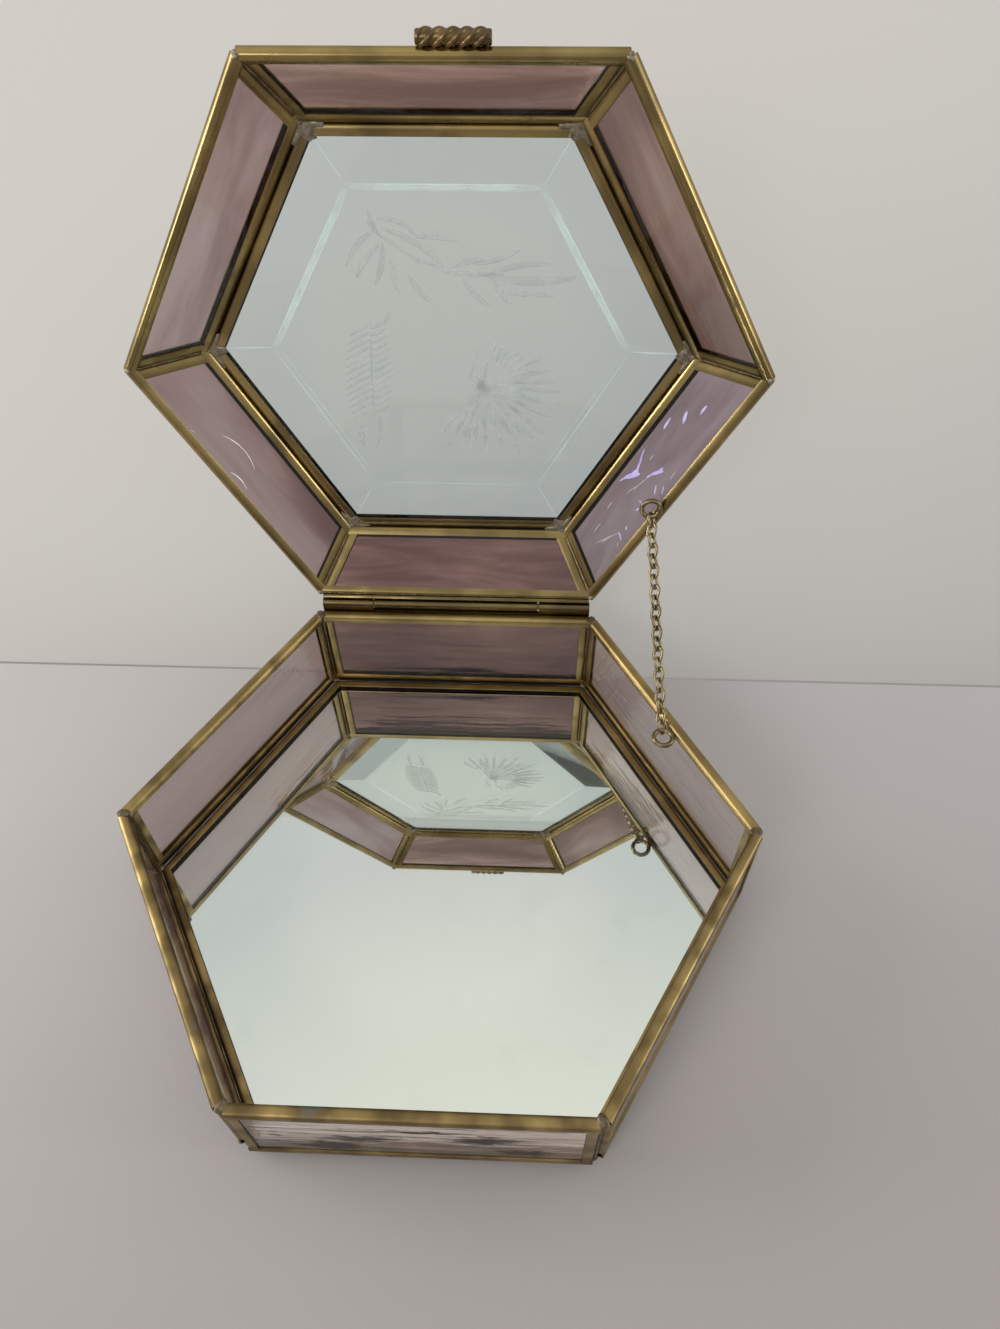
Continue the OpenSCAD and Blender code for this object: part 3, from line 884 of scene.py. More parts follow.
@dataclass
class TintedPanes:
    """The twelve streaky panes; those at the front and the rear were cut from darker glass."""

    sizes: BoxSizes = SIZES
    wall_depth: dict[Side, float] = field(
        default_factory=lambda: {Side.REAR: 0.06, Side.FRONT: -0.13, Side.REAR_RIGHT: -0.13, Side.REAR_LEFT: -0.17}
    )
    lid_depth: dict[Side, float] = field(
        default_factory=lambda: {Side.REAR: 0.02, Side.FRONT: 0.0, Side.REAR_RIGHT: 0.0, Side.REAR_LEFT: 0.04, Side.FRONT_RIGHT: 0.10}
    )
    # Dark feathery strokes: at the front they are smoke in the glass, and along the rear pane's foot they are painted
    # shade of the table behind. Each holds its middle along and up the pane, its width, its height and its count.
    smoke_and_shade: dict[Side, tuple[tuple[float, float, float, float, int], ...]] = field(
        default_factory=lambda: {
            Side.FRONT: ((18.2, 7.4, 7.5, 2.6, 60), (11.5, 13.4, 8.0, 2.0, 44), (-1.0, 20.0, 8.0, 1.4, 22),
                         (-14.5, 15.8, 8.0, 3.0, 64), (-23.0, 7.0, 7.0, 2.2, 44), (29.5, 14.0, 1.6, 5.0, 9)),
            Side.REAR: ((-17.0, 3.0, 14.0, 0.7, 26), (14.0, 3.0, 15.0, 0.7, 26), (0.0, 5.4, 20.0, 1.1, 14)),
        }
    )
    # Painted reflections: violet glints on the rear-right pane, each given by its two ends along and up the pane and
    # its width.
    glints: tuple[tuple[float, float, float, float, float], ...] = (
        (-7.1, 14.9, -3.0, 13.0, 0.55), (-5.4, 14.3, -1.4, 11.6, 1.25), (-3.6, 13.1, -1.0, 12.6, 1.0),
        (-2.2, 12.5, 2.0, 13.8, 0.6), (0.2, 13.4, 4.3, 14.8, 0.4), (-1.0, 9.6, 2.2, 8.3, 0.5),
        (0.6, 9.1, 3.6, 7.1, 0.85), (2.3, 7.9, 4.1, 7.7, 0.7), (11.5, 14.0, 15.0, 14.3, 0.55),
        (15.9, 10.8, 19.0, 12.0, 0.85), (20.6, 8.8, 23.4, 8.9, 0.6), (-0.5, 6.4, -2.7, 5.2, 0.4),
        (-6.9, 7.3, -7.0, 5.5, 0.6), (-9.5, 6.2, -8.4, 5.9, 0.35), (-17.4, 6.3, -18.8, 4.3, 0.6),
        (-14.6, 5.7, -15.6, 5.1, 0.4), (0.7, 4.6, -1.2, 3.7, 0.3),
    )
    scratches: tuple[tuple[float, float, float, float, float], ...] = (
        (-6.4, 10.1, -1.0, 9.3, 0.3), (-8.2, 11.1, -4.4, 10.2, 0.2), (-23.1, 11.5, -19.6, 11.7, 0.2),
        (-23.6, 8.1, -17.6, 6.0, 0.3), (-24.8, 9.4, -19.6, 7.4, -0.2), (-21.0, 3.9, -19.4, 4.7, 0.1),
        (3.2, 4.3, 5.9, 4.6, 0.1), (-15.3, 12.7, -12.5, 12.8, 0.2), (3.1, 11.8, 5.0, 11.8, 0.1),
    )
    arcs: tuple[tuple[float, float, float, float, float], ...] = (
        (-12.4, 7.9, -0.2, 8.6, 1.5), (-4.1, 3.3, 2.3, 3.6, 0.7), (-18.5, 2.6, -17.2, 3.1, 0.1),
    )

    def _glass(self, side: Side, frame: Matrix, lid: bool) -> bpy.types.Material:
        """Makes the glass of one pane.

        Args:
            side: Its side of the box.
            frame: Its frame.
            lid: Whether it belongs to the lid.

        Returns:
            The material.
        """
        shift = frame @ Matrix.Translation((37.0 * side.value, 0, 13.0 * side.value))
        ruddy = ((0.58, 0.39, 0.35), (0.40, 0.225, 0.195), (0.19, 0.093, 0.088), (0.33, 0.225, 0.24))
        light = ((0.80, 0.66, 0.635), (0.62, 0.47, 0.45), (0.34, 0.22, 0.22), (0.58, 0.49, 0.50))
        brown = ((0.60, 0.45, 0.40), (0.42, 0.285, 0.25), (0.24, 0.15, 0.135), (0.38, 0.29, 0.29))
        if lid:
            tones = {Side.REAR: ruddy, Side.FRONT: brown, Side.FRONT_RIGHT: brown}.get(side, ())
        else:
            tones = {Side.REAR: ruddy, Side.FRONT: light, Side.REAR_RIGHT: light, Side.FRONT_RIGHT: light}.get(side, ())
        if lid and side is Side.REAR_RIGHT:
            return StreakyGlass(f"lid glass {side.word}", shift, (0.66, 0.56, 0.62), (0.48, 0.385, 0.44), (0.28, 0.18, 0.20),
                                deepness=self.lid_depth[side] - 0.05, painted_shade_up=0.005, foot=13.0 * side.value).make()
        if lid:
            streaks = 0.66 if side in (Side.REAR, Side.FRONT) else 0.4
            return StreakyGlass(f"lid glass {side.word}", shift, *tones, deepness=self.lid_depth.get(side, 0.0) - 0.05,
                                streaks=streaks, painted_shade_up=0.006, foot=13.0 * side.value).make()
        return StreakyGlass(f"wall glass {side.word}", shift, *tones, deepness=self.wall_depth.get(side, 0.0),
                            waves=0.4 if side is Side.REAR else 0.15).make()

    def _marks(self, name: str, side: Side, finish: bpy.types.Material, painted_glints: Sequence[tuple[float, ...]],
               hairs: Sequence[tuple[float, ...]]) -> None:
        """Lays bright marks of painted reflection and fine scratches on the inner face of one of the lid's panes.

        Args:
            name: Name of the piece.
            side: Side of the pane.
            finish: Their finish.
            painted_glints: Ends and width of each mark, along and up the pane.
            hairs: Ends and bow of each scratch.
        """
        mesh = bmesh.new()
        for x0, z0, x1, z1, width in painted_glints:
            add_cut(mesh, (x0, z0), (x1, z1), width, 0.03, 0.1)
        for x0, z0, x1, z1, bow in hairs:
            add_cut(mesh, (x0, z0), (x1, z1), 0.26 if abs(bow) > 0.5 else 0.1, 0.03, bow)
        turn = Matrix.Translation((0, 0.385, 0)) @ Matrix.Rotation(math.pi / 2, 4, "X")
        piece = keep_mesh(name, mesh, self.sizes.pane(side) @ turn, Body.LID, [finish])

    def _smoke_and_shade(self, side: Side, finish: bpy.types.Material) -> None:
        """Draws the black feathery streaks of one wall pane, on the face that shows; along the rear pane's foot they
        are painted shade.

        Args:
            side: Side of the pane.
            finish: Their finish.
        """
        rng = random.Random(30 + side.value)
        mesh = bmesh.new()
        reach = self.sizes.side / 2 - self.sizes.came_leg - 0.8
        for x, z, wide, high, count in self.smoke_and_shade[side]:
            for _ in range(count):
                off = max(-1.3, min(1.3, rng.gauss(0, 0.6)))
                half = rng.uniform(0.2, 0.75) * wide * (1.4 - abs(off))
                middle = x + rng.gauss(0, 0.3) * wide
                up = max(self.sizes.came_leg + 0.1, z + off * high)
                start, end = max(-reach, middle - half), min(reach, middle + half)
                if end - start > 0.8:
                    slant = rng.uniform(-0.25, 0.25)
                    add_cut(mesh, (start, up - slant), (end, up + slant), rng.uniform(0.16, 0.5), 0.02, rng.uniform(-0.25, 0.25))
        depth = 2.415 if side is Side.FRONT else 0.385
        turn = Matrix.Translation((0, depth, 0)) @ Matrix.Rotation(math.pi / 2, 4, "X")
        piece = keep_mesh("smoke_and_shade_" + side.word, mesh, self.sizes.wall(side) @ turn, Body.BASE, [finish])

    def build(self) -> None:
        """Dresses every tinted pane, each with its own stretch of the glass, and marks the two at the rear corners."""
        for side in Side:
            dress_node("wall_glass_" + side.word, self._glass(side, self.sizes.wall(side), False))
            dress_node("lid_glass_" + side.word, self._glass(side, self.sizes.pane(side), True))
        # Near-black strokes: smoke in the front pane, and painted shade along the rear pane's foot.
        black = WheelCut("black plumes", (0.050, 0.038, 0.040), (0.018, 0.013, 0.014), 0.6).make()
        for side in self.smoke_and_shade:
            self._smoke_and_shade(side, black)
        # Painted reflections: violet glints that glow a little, though no lamp is there.
        violet = WheelCut("violet glints", (0.66, 0.58, 0.90), (0.44, 0.36, 0.74), 0.8, 0.25).make()
        # Real scratches, drawn brighter than their light makes them by a painted glow.
        white = WheelCut("white scratches", (0.92, 0.90, 0.90), (0.66, 0.62, 0.62), 0.62, 0.3).make()
        self._marks("marks_rear_right", Side.REAR_RIGHT, violet, self.glints, ())
        self._marks("scratches_rear_right", Side.REAR_RIGHT, white, (), self.scratches)
        self._marks("scratches_rear_left", Side.REAR_LEFT, white, (), self.arcs)


@dataclass
class MirrorFloor:
    """Floor of the box: polished plate glass with silver on its back."""

    sizes: BoxSizes = SIZES
    play: float = 0.47
    arris: float = 0.15
    backing: float = 0.06
    lift: float = 0.4

    def _plate(self, height: float, arris: float) -> bmesh.types.BMesh:
        """Makes a hexagonal plate on Z = 0 with ground edges."""
        mesh = bmesh.new()
        radius = self.sizes.side - self.play / math.cos(math.pi / 6)
        bmesh.ops.create_cone(mesh, cap_ends=True, segments=6, radius1=radius, radius2=radius, depth=height,
                              matrix=Matrix.Translation((0, 0, height / 2)) @ Matrix.Rotation(math.pi / 6, 4, "Z"))
        corner = max(abs(v.co.x) for v in mesh.verts)
        if corner < radius - 1e-3:
            bmesh.ops.rotate(mesh, cent=(0, 0, 0), matrix=Matrix.Rotation(math.pi / 6, 3, "Z"), verts=mesh.verts)
        if arris:
            bmesh.ops.bevel(mesh, geom=list(mesh.edges), offset=arris, segments=1, profile=0.5, affect="EDGES",
                            material=-1)
        return mesh

    def build(self) -> None:
        """Builds the glass and its silver."""
        up = Matrix.Translation((0, 0, self.lift))
        silver = keep_mesh("mirror_silver", self._plate(self.backing, 0.0), up, Body.BASE,
                           [SilverBacking("mirror silver").make()], 20)
        up = Matrix.Translation((0, 0, self.lift + self.backing + 0.005))
        plate = self._plate(self.sizes.mirror_t - self.backing - 0.005, self.arris)
        glass = keep_mesh("mirror_plate", plate, up, Body.BASE,
                          [ClearPlate("mirror plate", (0.97, 0.985, 0.975), (0.93, 0.96, 0.95)).make()], 20)
        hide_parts("mirror_floor")


@dataclass
class ClearPane:
    """The bevelled middle pane of the lid with its wheel-cut spray of flowers."""

    sizes: BoxSizes = SIZES
    under: float = 0.4
    edge_t: float = 2.0
    middle_t: float = 3.6
    bevel_w: float = 10.2
    depth: float = 0.46
    seed: int = 7
    # Width of the bright and of the faint painted highlight along each bevel's polished edge, side by side.
    lines: tuple[tuple[float, float], ...] = ((0.2, 0.1), (0.12, 0.0), (0.18, 0.12), (0.24, 0.18), (0.26, 0.0), (0.24, 0.18))
    long_leaves: tuple[tuple[float, float, float, float, float, float], ...] = (
        (-15.5, -31.5, -6.2, -27.3, 1.1, -1.6), (-6.8, -27.6, 3.3, -26.3, 1.2, -0.7), (-14.4, -29.4, -0.3, -20.4, 1.3, -1.6),
        (-0.6, -20.6, 9.2, -22.7, 1.3, -0.5), (6.0, -21.8, 17.0, -25.2, 1.1, 0.7), (-1.0, -20.0, 13.5, -19.6, 1.0, 0.4),
        (8.5, -19.4, 30.0, -19.0, 1.9, 1.3), (9.5, -19.5, 24.0, -21.8, 1.4, -0.9), (12.0, -15.8, 25.5, -14.8, 1.3, 0.4),
        (3.6, -18.4, 10.0, -11.9, 1.3, 0.6), (10.6, -18.6, 15.2, -12.0, 1.2, 0.5), (-9.2, -20.0, -3.9, -12.6, 1.2, 0.6),
        (-14.4, -26.6, -16.8, -16.7, 1.3, -0.7), (-15.0, -26.0, -21.0, -18.3, 1.2, 0.6), (-16.2, -29.0, -23.2, -21.0, 1.2, 0.8),
        (-10.6, -24.6, -5.6, -21.4, 0.9, -0.3), (-17.3, -31.3, -14.6, -27.9, 1.0, 0.2), (-12.6, -23.4, -11.4, -14.6, 1.1, 0.5),
    )

    def _fern(self, mesh: bmesh.types.BMesh) -> None:
        """Cuts a fern of short slanting strokes in three ranks, with two small leaves at its foot."""
        rows = 13
        for i in range(rows):
            y = -6.6 + 1.85 * i
            swell = 0.62 + 0.38 * math.sin(math.pi * (0.12 + 0.74 * i / (rows - 1)))
            rib = -18.9 - 0.09 * i
            for hand, reach in ((-1, 7.4 * swell), (1, 5.6 * swell)):
                root = Vector((rib - 0.3 * hand, y + 0.5 * hand))
                add_cut(mesh, root, root + Vector((reach, -0.54 * reach)) * hand, 0.85, self.depth, 0.3)
        add_cut(mesh, (-18.6, -8.0), (-20.2, 17.5), 0.45, self.depth, 0.2)
        add_cut(mesh, (-22.9, 17.6), (-23.6, 26.2), 1.3, self.depth, 0.5)
        add_cut(mesh, (-18.6, 17.0), (-20.2, 26.0), 1.2, self.depth, -0.5)
        add_cut(mesh, (-15.6, -7.0), (-13.6, -10.6), 1.0, self.depth, 0.1)

    def _flower(self, mesh: bmesh.types.BMesh, cup: Point, way: float, reach: float) -> None:
        """Cuts a thistle.

        Args:
            mesh: The bmesh that gets it.
            cup: Middle of its cup.
            way: Direction that it faces, in degrees.
            reach: Length of its petals.
        """
        rng = random.Random(self.seed)
        middle = Vector(cup[:2])
        for ring, (count, spread, share) in enumerate(((15, 158, 1.0), (13, 140, 0.8), (9, 110, 0.58))):
            for i in range(count):
                off = i / (count - 1) - 0.5
                turn = math.radians(way + spread * off + rng.uniform(-3, 3))
                out = Vector((math.cos(turn), math.sin(turn)))
                root = middle + out * (reach * share * 0.42)
                tip = middle + out * reach * share * (1 - 0.5 * off * off) * rng.uniform(0.84, 1.0)
                add_cut(mesh, root, tip, 1.35 - 0.15 * ring, self.depth, 1.0 * off)
        for i in range(7):
            turn = math.radians(way + 24 * (i - 3))
            out = Vector((math.cos(turn), math.sin(turn)))
            add_cut(mesh, middle - out * 3.0, middle + out * 7.5, 2.3, self.depth * 0.5, 0.3)
        for i in range(8):
            turn = math.radians(way - 62 - 9 * i)
            out = Vector((math.cos(turn), math.sin(turn)))
            add_cut(mesh, middle + out * 7.0, middle + out * 12.5, 0.9, self.depth, -0.5)
        for start, end in (((-1.2, -9.6), (-3.6, -1.4)), ((1.6, -9.9), (0.2, -1.6))):
            add_cut(mesh, middle + Vector(start), middle + Vector(end), 0.9, self.depth, 0.3)

    def _engraving(self) -> bmesh.types.BMesh:
        """Lays out the spray of flowers."""
        mesh = bmesh.new()
        self._fern(mesh)
        self._flower(mesh, (8.2, 8.4, 0.0), 52, 22)
        for x0, y0, x1, y1, width, bow in self.long_leaves:
            add_cut(mesh, (x0, y0), (x1, y1), width * 1.15, self.depth, bow)
        stem = ((-17.1, -33.2), (-15.2, -28.2), (-8.0, -23.4), (-0.3, -20.3), (9.4, -19.2))
        for a, b in zip(stem, stem[1:]):
            add_cut(mesh, Vector(a) * 1.03 - Vector(b) * 0.03, Vector(b) * 1.03 - Vector(a) * 0.03, 0.8, self.depth * 0.8)
        return mesh

    def _arris_highlights(self) -> bmesh.types.BMesh:
        """Draws glowing lines that paint the highlights of the polished edges between the bevels and the flat."""
        mesh = bmesh.new()
        inner = (self.sizes.crown_ap - self.sizes.came_leg - self.bevel_w) / math.cos(math.pi / 6)
        outer = (self.sizes.crown_ap - self.sizes.came_leg + 0.4) / math.cos(math.pi / 6)
        drop = (self.middle_t - self.edge_t) * (outer - inner) / (outer - inner + 0.01)
        for i, (bold, faint) in enumerate(self.lines):
            a, b = math.radians(60 * i), math.radians(60 * (i + 1))
            start = Vector((inner * math.cos(a), inner * math.sin(a)))
            end = Vector((inner * math.cos(b), inner * math.sin(b)))
            add_cut(mesh, start, end, bold, 0.05)
            if faint:
                add_cut(mesh, start * 0.965, end * 0.965, faint, 0.05)
            corner = bmesh.new()
            add_cut(corner, start, start * (outer / inner), 0.34 if i in (0, 3) else 0.16, 0.05)
            for vert in corner.verts:
                vert.co.z -= drop * (Vector(vert.co.xy).length - inner) / (outer - inner)
            paste(mesh, corner)
        return mesh

    def _painted_sheen(self) -> bmesh.types.BMesh:
        """Lays a faint pale band of painted sheen along three of the bevels' polished edges."""
        mesh = bmesh.new()
        inner = (self.sizes.crown_ap - self.sizes.came_leg - self.bevel_w) / math.cos(math.pi / 6)
        for i in (3, 4, 5):
            a, b = math.radians(60 * i), math.radians(60 * (i + 1))
            start = Vector((math.cos(a), math.sin(a))) * inner * 0.982
            end = Vector((math.cos(b), math.sin(b))) * inner * 0.982
            for share in (0.0, 0.25, 0.5, 0.75):
                near, far = start.lerp(end, max(share - 0.12, 0)), start.lerp(end, min(share + 0.37, 1))
                add_cut(mesh, near, far, 1.5, 0.03)
        return mesh

    def build(self) -> None:
        """Dresses the pane and adds its cuts and polished edges."""
        glass = ClearPlate("clear pane", frame=self.sizes.crown())
        dress_node("crown_glass", glass.make())
        frame = self.sizes.crown() @ Matrix.Translation((0, 0, self.under - self.depth * 0.12))
        cuts = keep_mesh("cut_spray", self._engraving(), frame, Body.LID, [WheelCut("wheel cut").make()])
        frame = self.sizes.crown() @ Matrix.Translation((0, 0, self.under + self.middle_t + 0.03))
        # Painted highlight: the polished edges glow white.
        shine = WheelCut("polished arris highlight", (0.95, 0.98, 0.97), (0.84, 0.88, 0.87), 0.42, 0.45)
        edges = keep_mesh("bevel_arris_highlights", self._arris_highlights(), frame, Body.LID, [shine.make()])
        # Painted highlight: a faint glowing band along three bevels.
        painted_sheen = WheelCut("bevel haze", (0.90, 0.96, 0.90), (0.86, 0.92, 0.86), 0.16, 0.45)
        band = keep_mesh("bevel_painted_sheen", self._painted_sheen(), frame, Body.LID, [painted_sheen.make()])


@dataclass
class SolderWork:
    """Solder of the corners: beads in the grooves, drops on the joints and puddles on the rim."""

    sizes: BoxSizes = SIZES
    groove: float = 0.95
    bead: float = 0.62

    def _corner(self, index: int, distance: float, height: float) -> Vector:
        """Point outwards from a corner line of the hexagon."""
        turn = index * math.pi / 3
        return Vector((distance * math.cos(turn), distance * math.sin(turn), height))

    def _base(self) -> bmesh.types.BMesh:
        """Beads, puddles and drops of the base."""
        s, mesh = self.sizes, bmesh.new()
        for i in range(6):
            turn = Matrix.Rotation(i * math.pi / 3, 3, "Z")
            foot = self._corner(i, s.side + self.groove, s.came_web - 0.2)
            head = self._corner(i, s.side + self.groove, s.base_h - 0.2)
            add_bead(mesh, foot, head, self.bead, i)
            add_lump(mesh, self._corner(i, s.side + 1.1, s.base_h - 0.12), Vector((1.55, 1.15, 0.38)), turn, i)
            add_lump(mesh, self._corner(i, s.side + 0.75, s.came_web - 0.25), Vector((1.0, 1.3, 1.0)), turn, i + 9)
            add_lump(mesh, self._corner(i, s.side - 0.35, s.came_web + 0.3), Vector((0.9, 1.1, 0.6)), turn, i + 20)
            add_bead(mesh, self._corner(i, s.side - 0.02, s.came_web + 0.4), self._corner(i, s.side - 0.02, s.base_h - 0.3),
                     0.28, i + 40)
        return mesh

    def _lid(self) -> bmesh.types.BMesh:
        """Beads and drops of the lid, drawn closed."""
        s, mesh = self.sizes, bmesh.new()
        run = Vector((s.lid_side - s.crown_side, 0, s.lid_rise)).normalized()
        out = Vector((run.z, 0, run.x))
        for i in range(6):
            spin = Matrix.Rotation(i * math.pi / 3, 3, "Z")
            foot = spin @ (Vector((s.lid_side, 0, s.rim_z)) + out * 0.95)
            head = spin @ (Vector((s.crown_side, 0, s.rim_z + s.lid_rise)) + out * 0.95)
            up = (head - foot).normalized()
            add_bead(mesh, foot + up * 0.5, head - up * 0.2, 0.52, i + 60)
            add_lump(mesh, head + spin @ Vector((0.35, 0, 0.3)), Vector((1.25, 1.2, 0.9)), spin, i + 70)
            add_lump(mesh, foot + up * 0.6, Vector((0.8, 0.75, 0.6)), spin, i + 80)
            inner = spin @ Vector((s.crown_side - 0.3, 0, s.rim_z + s.lid_rise + 0.05))
            add_lump(mesh, inner, Vector((3.1, 2.0, 0.36)), spin, i + 90, 0.5)
            for hand in (-1, 1):
                aim = spin @ Matrix.Rotation(hand * math.radians(120), 3, "Z")
                add_lump(mesh, inner + aim @ Vector((2.0, -0.2 * hand, 0.0)), Vector((2.6, 0.75, 0.34)), aim, i + 93, 0.4)
            smear = spin @ Vector((s.crown_side + 1.1, 0, s.rim_z + s.lid_rise - 0.1))
            add_lump(mesh, smear, Vector((1.5, 0.9, 0.5)), spin, i + 95, 0.4)
            low = spin @ Vector((s.lid_side - 0.35, 0, s.rim_z + 0.45))
            add_lump(mesh, low, Vector((0.55, 0.8, 0.5)), spin, i + 100)
        return mesh

    def build(self) -> None:
        """Builds the solder of both bodies."""
        s, finish = self.sizes, [Solder("tin solder").make()]
        dull = [Solder("dull solder", (0.22, 0.175, 0.115), (0.10, 0.075, 0.042)).make()]
        base = keep_mesh("solder_base", self._base(), Matrix.Identity(4), Body.BASE, dull, 60)
        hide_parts("base_solder")
        lid = keep_mesh("solder_lid", self._lid(), s.opening(), Body.LID, finish, 60)
        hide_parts("lid_solder")
        # Painted shade: near-black beads in the grooves round the floor and round the clear pane.
        dark = [BlackLining("groove painted shade").make()]
        foot = keep_mesh("groove_shade_base", self._groove_shade(s.base_ap + 0.35, s.came_web - 0.35), Matrix.Identity(4), Body.BASE, dark, 60)
        head = keep_mesh("groove_shade_lid", self._groove_shade(s.crown_ap + 0.35, s.rim_z + s.lid_rise + 1.0), s.opening(), Body.LID, dark, 60)

    def _groove_shade(self, apothem: float, height: float) -> bmesh.types.BMesh:
        """Fills the groove between two strips round a hexagon with a dark bead that paints its shade."""
        mesh = bmesh.new()
        radius = apothem / math.cos(math.pi / 6)
        for i in range(6):
            add_bead(mesh, self._corner(i, radius, height), self._corner(i + 1, radius, height), 0.42, i + 120, 3.0)
        return mesh


@dataclass
class Hinge:
    """Barrels, leaves and pin of the hinge."""

    sizes: BoxSizes = SIZES
    leaf_half: float = 37.2
    # Painted shade: brass for the barrels and leaves, darker than the rims, for the hinge's shaded gaps.
    barrels: AgedBrass = AgedBrass("hinge brass darkened for shade", gold=(0.27, 0.20, 0.09), olive=(0.16, 0.12, 0.055), brown_share=0.10)
    pin: AgedBrass = AgedBrass("pin brass", gold=(0.26, 0.19, 0.09), brown_share=0.1)

    def build(self) -> None:
        """Dresses the barrels and the pin, and adds the leaves that run the length of both rims; the barrels and leaves
        are darkened to paint the hinge's shade.
        """
        s, finish = self.sizes, self.barrels.make()
        dress_node("hinge_end_barrels", finish)
        dress_node("hinge_middle_barrel", finish)
        dress_node("hinge_pin", self.pin.make())
        back = s.base_ap + s.came_web + s.film
        mesh = bmesh.new()
        # The base's leaf closes the slit under the barrels, where shade falls.
        low, high = (-self.leaf_half, back, s.base_h - 2.3), (self.leaf_half, back + 0.4, s.base_h - 0.1)
        add_plate(mesh, low, high, Matrix.Identity(4))
        low, high = (-self.leaf_half, back, s.base_h - 0.8), (self.leaf_half, back + 1.3, s.base_h - 0.16)
        add_plate(mesh, low, high, Matrix.Identity(4))
        leaf = keep_mesh("hinge_leaf_base", mesh, Matrix.Identity(4), Body.BASE, [finish])
        mesh = bmesh.new()
        add_plate(mesh, (-self.leaf_half, 0.75, -0.52), (self.leaf_half, 2.6, 0.04), Matrix.Identity(4))
        # Painted shade: a dark lip under the lid's rim, for the shaded band above the barrels.
        add_plate(mesh, (-self.leaf_half, 0.5, -0.9), (self.leaf_half, 1.35, 0.0), Matrix.Identity(4))
        leaf = keep_mesh("hinge_leaf_lid", mesh, s.pane(Side.REAR), Body.LID, [finish])


@dataclass
class StayChain:
    """Chain that stops the lid, with the two rings that hold it."""

    sizes: BoxSizes = SIZES
    pitch: float = 2.7
    width: float = 3.2
    wire: float = 0.8
    ring_wire: float = 1.25
    twist: float = 45.0
    tilt: float = 17.0
    play: float = 0.08
    shut_share: float = 0.128

    def _ring_at(self, along: float, distance: float, height: float) -> Vector:
        """Middle of a ring on the rear right side."""
        turn = Matrix.Rotation(-math.pi / 3, 4, "Z")
        return turn @ Vector((along, distance, height))

    def _rings(self) -> tuple[Vector, Vector]:
        """Middles of the base's ring and of the closed lid's ring."""
        s = self.sizes
        base = self._ring_at(s.base_ring_at - s.side / 2, s.base_ap - s.ring_d / 2 - s.film, s.base_h - s.came_leg / 2)
        inset = s.ring_r + (s.lid_ring_z * math.cos(s.slope) + s.ring_wire / 2 + s.film) / math.sin(s.slope)
        lid = self._ring_at(s.lid_ring_at - s.lid_side / 2, s.lid_ap - inset, s.rim_z + s.lid_ring_z)
        return base, lid

    def _ring(self, name: str, middle: Vector, body: Body, frame: Matrix, finish: bpy.types.Material, node: str,
              wall: Vector) -> None:
        """Builds one ring with the drop of solder that holds it.

        Args:
            name: Name of the piece.
            middle: Its middle.
            body: The body it rides on.
            frame: Carries it to its place.
            finish: Its material.
            node: The solid it stands for.
            wall: Direction to the strip it is soldered to.
        """
        s, mesh = self.sizes, bmesh.new()
        made = add_torus(mesh, (s.ring_d - self.ring_wire) / 2, self.ring_wire, 32, 12)
        bmesh.ops.rotate(mesh, cent=(0, 0, 0), matrix=Matrix.Rotation(math.pi / 2, 3, "X"), verts=made)
        bmesh.ops.translate(mesh, vec=middle, verts=made)
        turn = wall.to_track_quat("X", "Z").to_matrix()
        add_lump(mesh, middle + wall * (s.ring_r + 0.1), Vector((0.55, 1.1, 0.6)), turn, 5)
        piece = keep_mesh(name, mesh, frame, body, [finish], 60)
        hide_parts(node)

    def build(self) -> None:
        """Builds the rings and the links between them."""
        s = self.sizes
        finish = AgedBrass("chain brass", gold=(0.36, 0.29, 0.17), olive=(0.23, 0.18, 0.10), shine=0.3).make()
        base, shut = self._rings()
        outwards = self._ring_at(0, 1, 0)
        self._ring("ring_base", base, Body.BASE, Matrix.Identity(4), finish, "base_chain_ring", outwards)
        self._ring("ring_lid", shut, Body.LID, s.opening(), finish, "lid_chain_ring", outwards)
        lid = s.opening() @ shut
        between = lid - base
        up = (s.opening().to_3x3() @ Vector((0, 0, 1))).normalized()
        first = base + Vector((between.x, between.y, 0)).normalized() * s.ring_r
        flat = (between - up * between.dot(up)).normalized()
        last = lid - flat * s.ring_r
        span = last - first
        reach = span.length + s.ring_wire + self.play
        links = 2 * round((reach / self.pitch - 1) / 2) + 1
        pitch = reach / links
        length = pitch + 2 * self.wire + self.play
        start = (length - self.wire) / 2 - (self.wire + s.ring_wire) / 2 - self.play
        mesh = bmesh.new()
        for i in range(links):
            made = add_torus(mesh, (self.width - self.wire) / 2, self.wire, 20, 8, max(length - self.width, 0.1))
            hand = 1 - 2 * (i % 2)
            turn = Matrix.Rotation(math.radians(90 + self.twist * hand), 4, "Z")
            turn = turn @ Matrix.Rotation(math.radians(self.tilt * hand), 4, "Y")
            bmesh.ops.transform(mesh, matrix=Matrix.Translation((0, 0, start + i * pitch)) @ turn, verts=made)
        along = span.normalized()
        turn = Matrix.Rotation(math.atan2(along.y, along.x), 4, "Z") @ Matrix.Rotation(math.acos(along.z), 4, "Y")
        piece = keep_mesh("chain_links", mesh, Matrix.Translation(first) @ turn, Body.BASE, [finish], 60)
        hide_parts("stay_chain")
        end_shut = s.opening().inverted() @ last - first
        tuple((span - end_shut).normalized())
        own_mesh(piece)


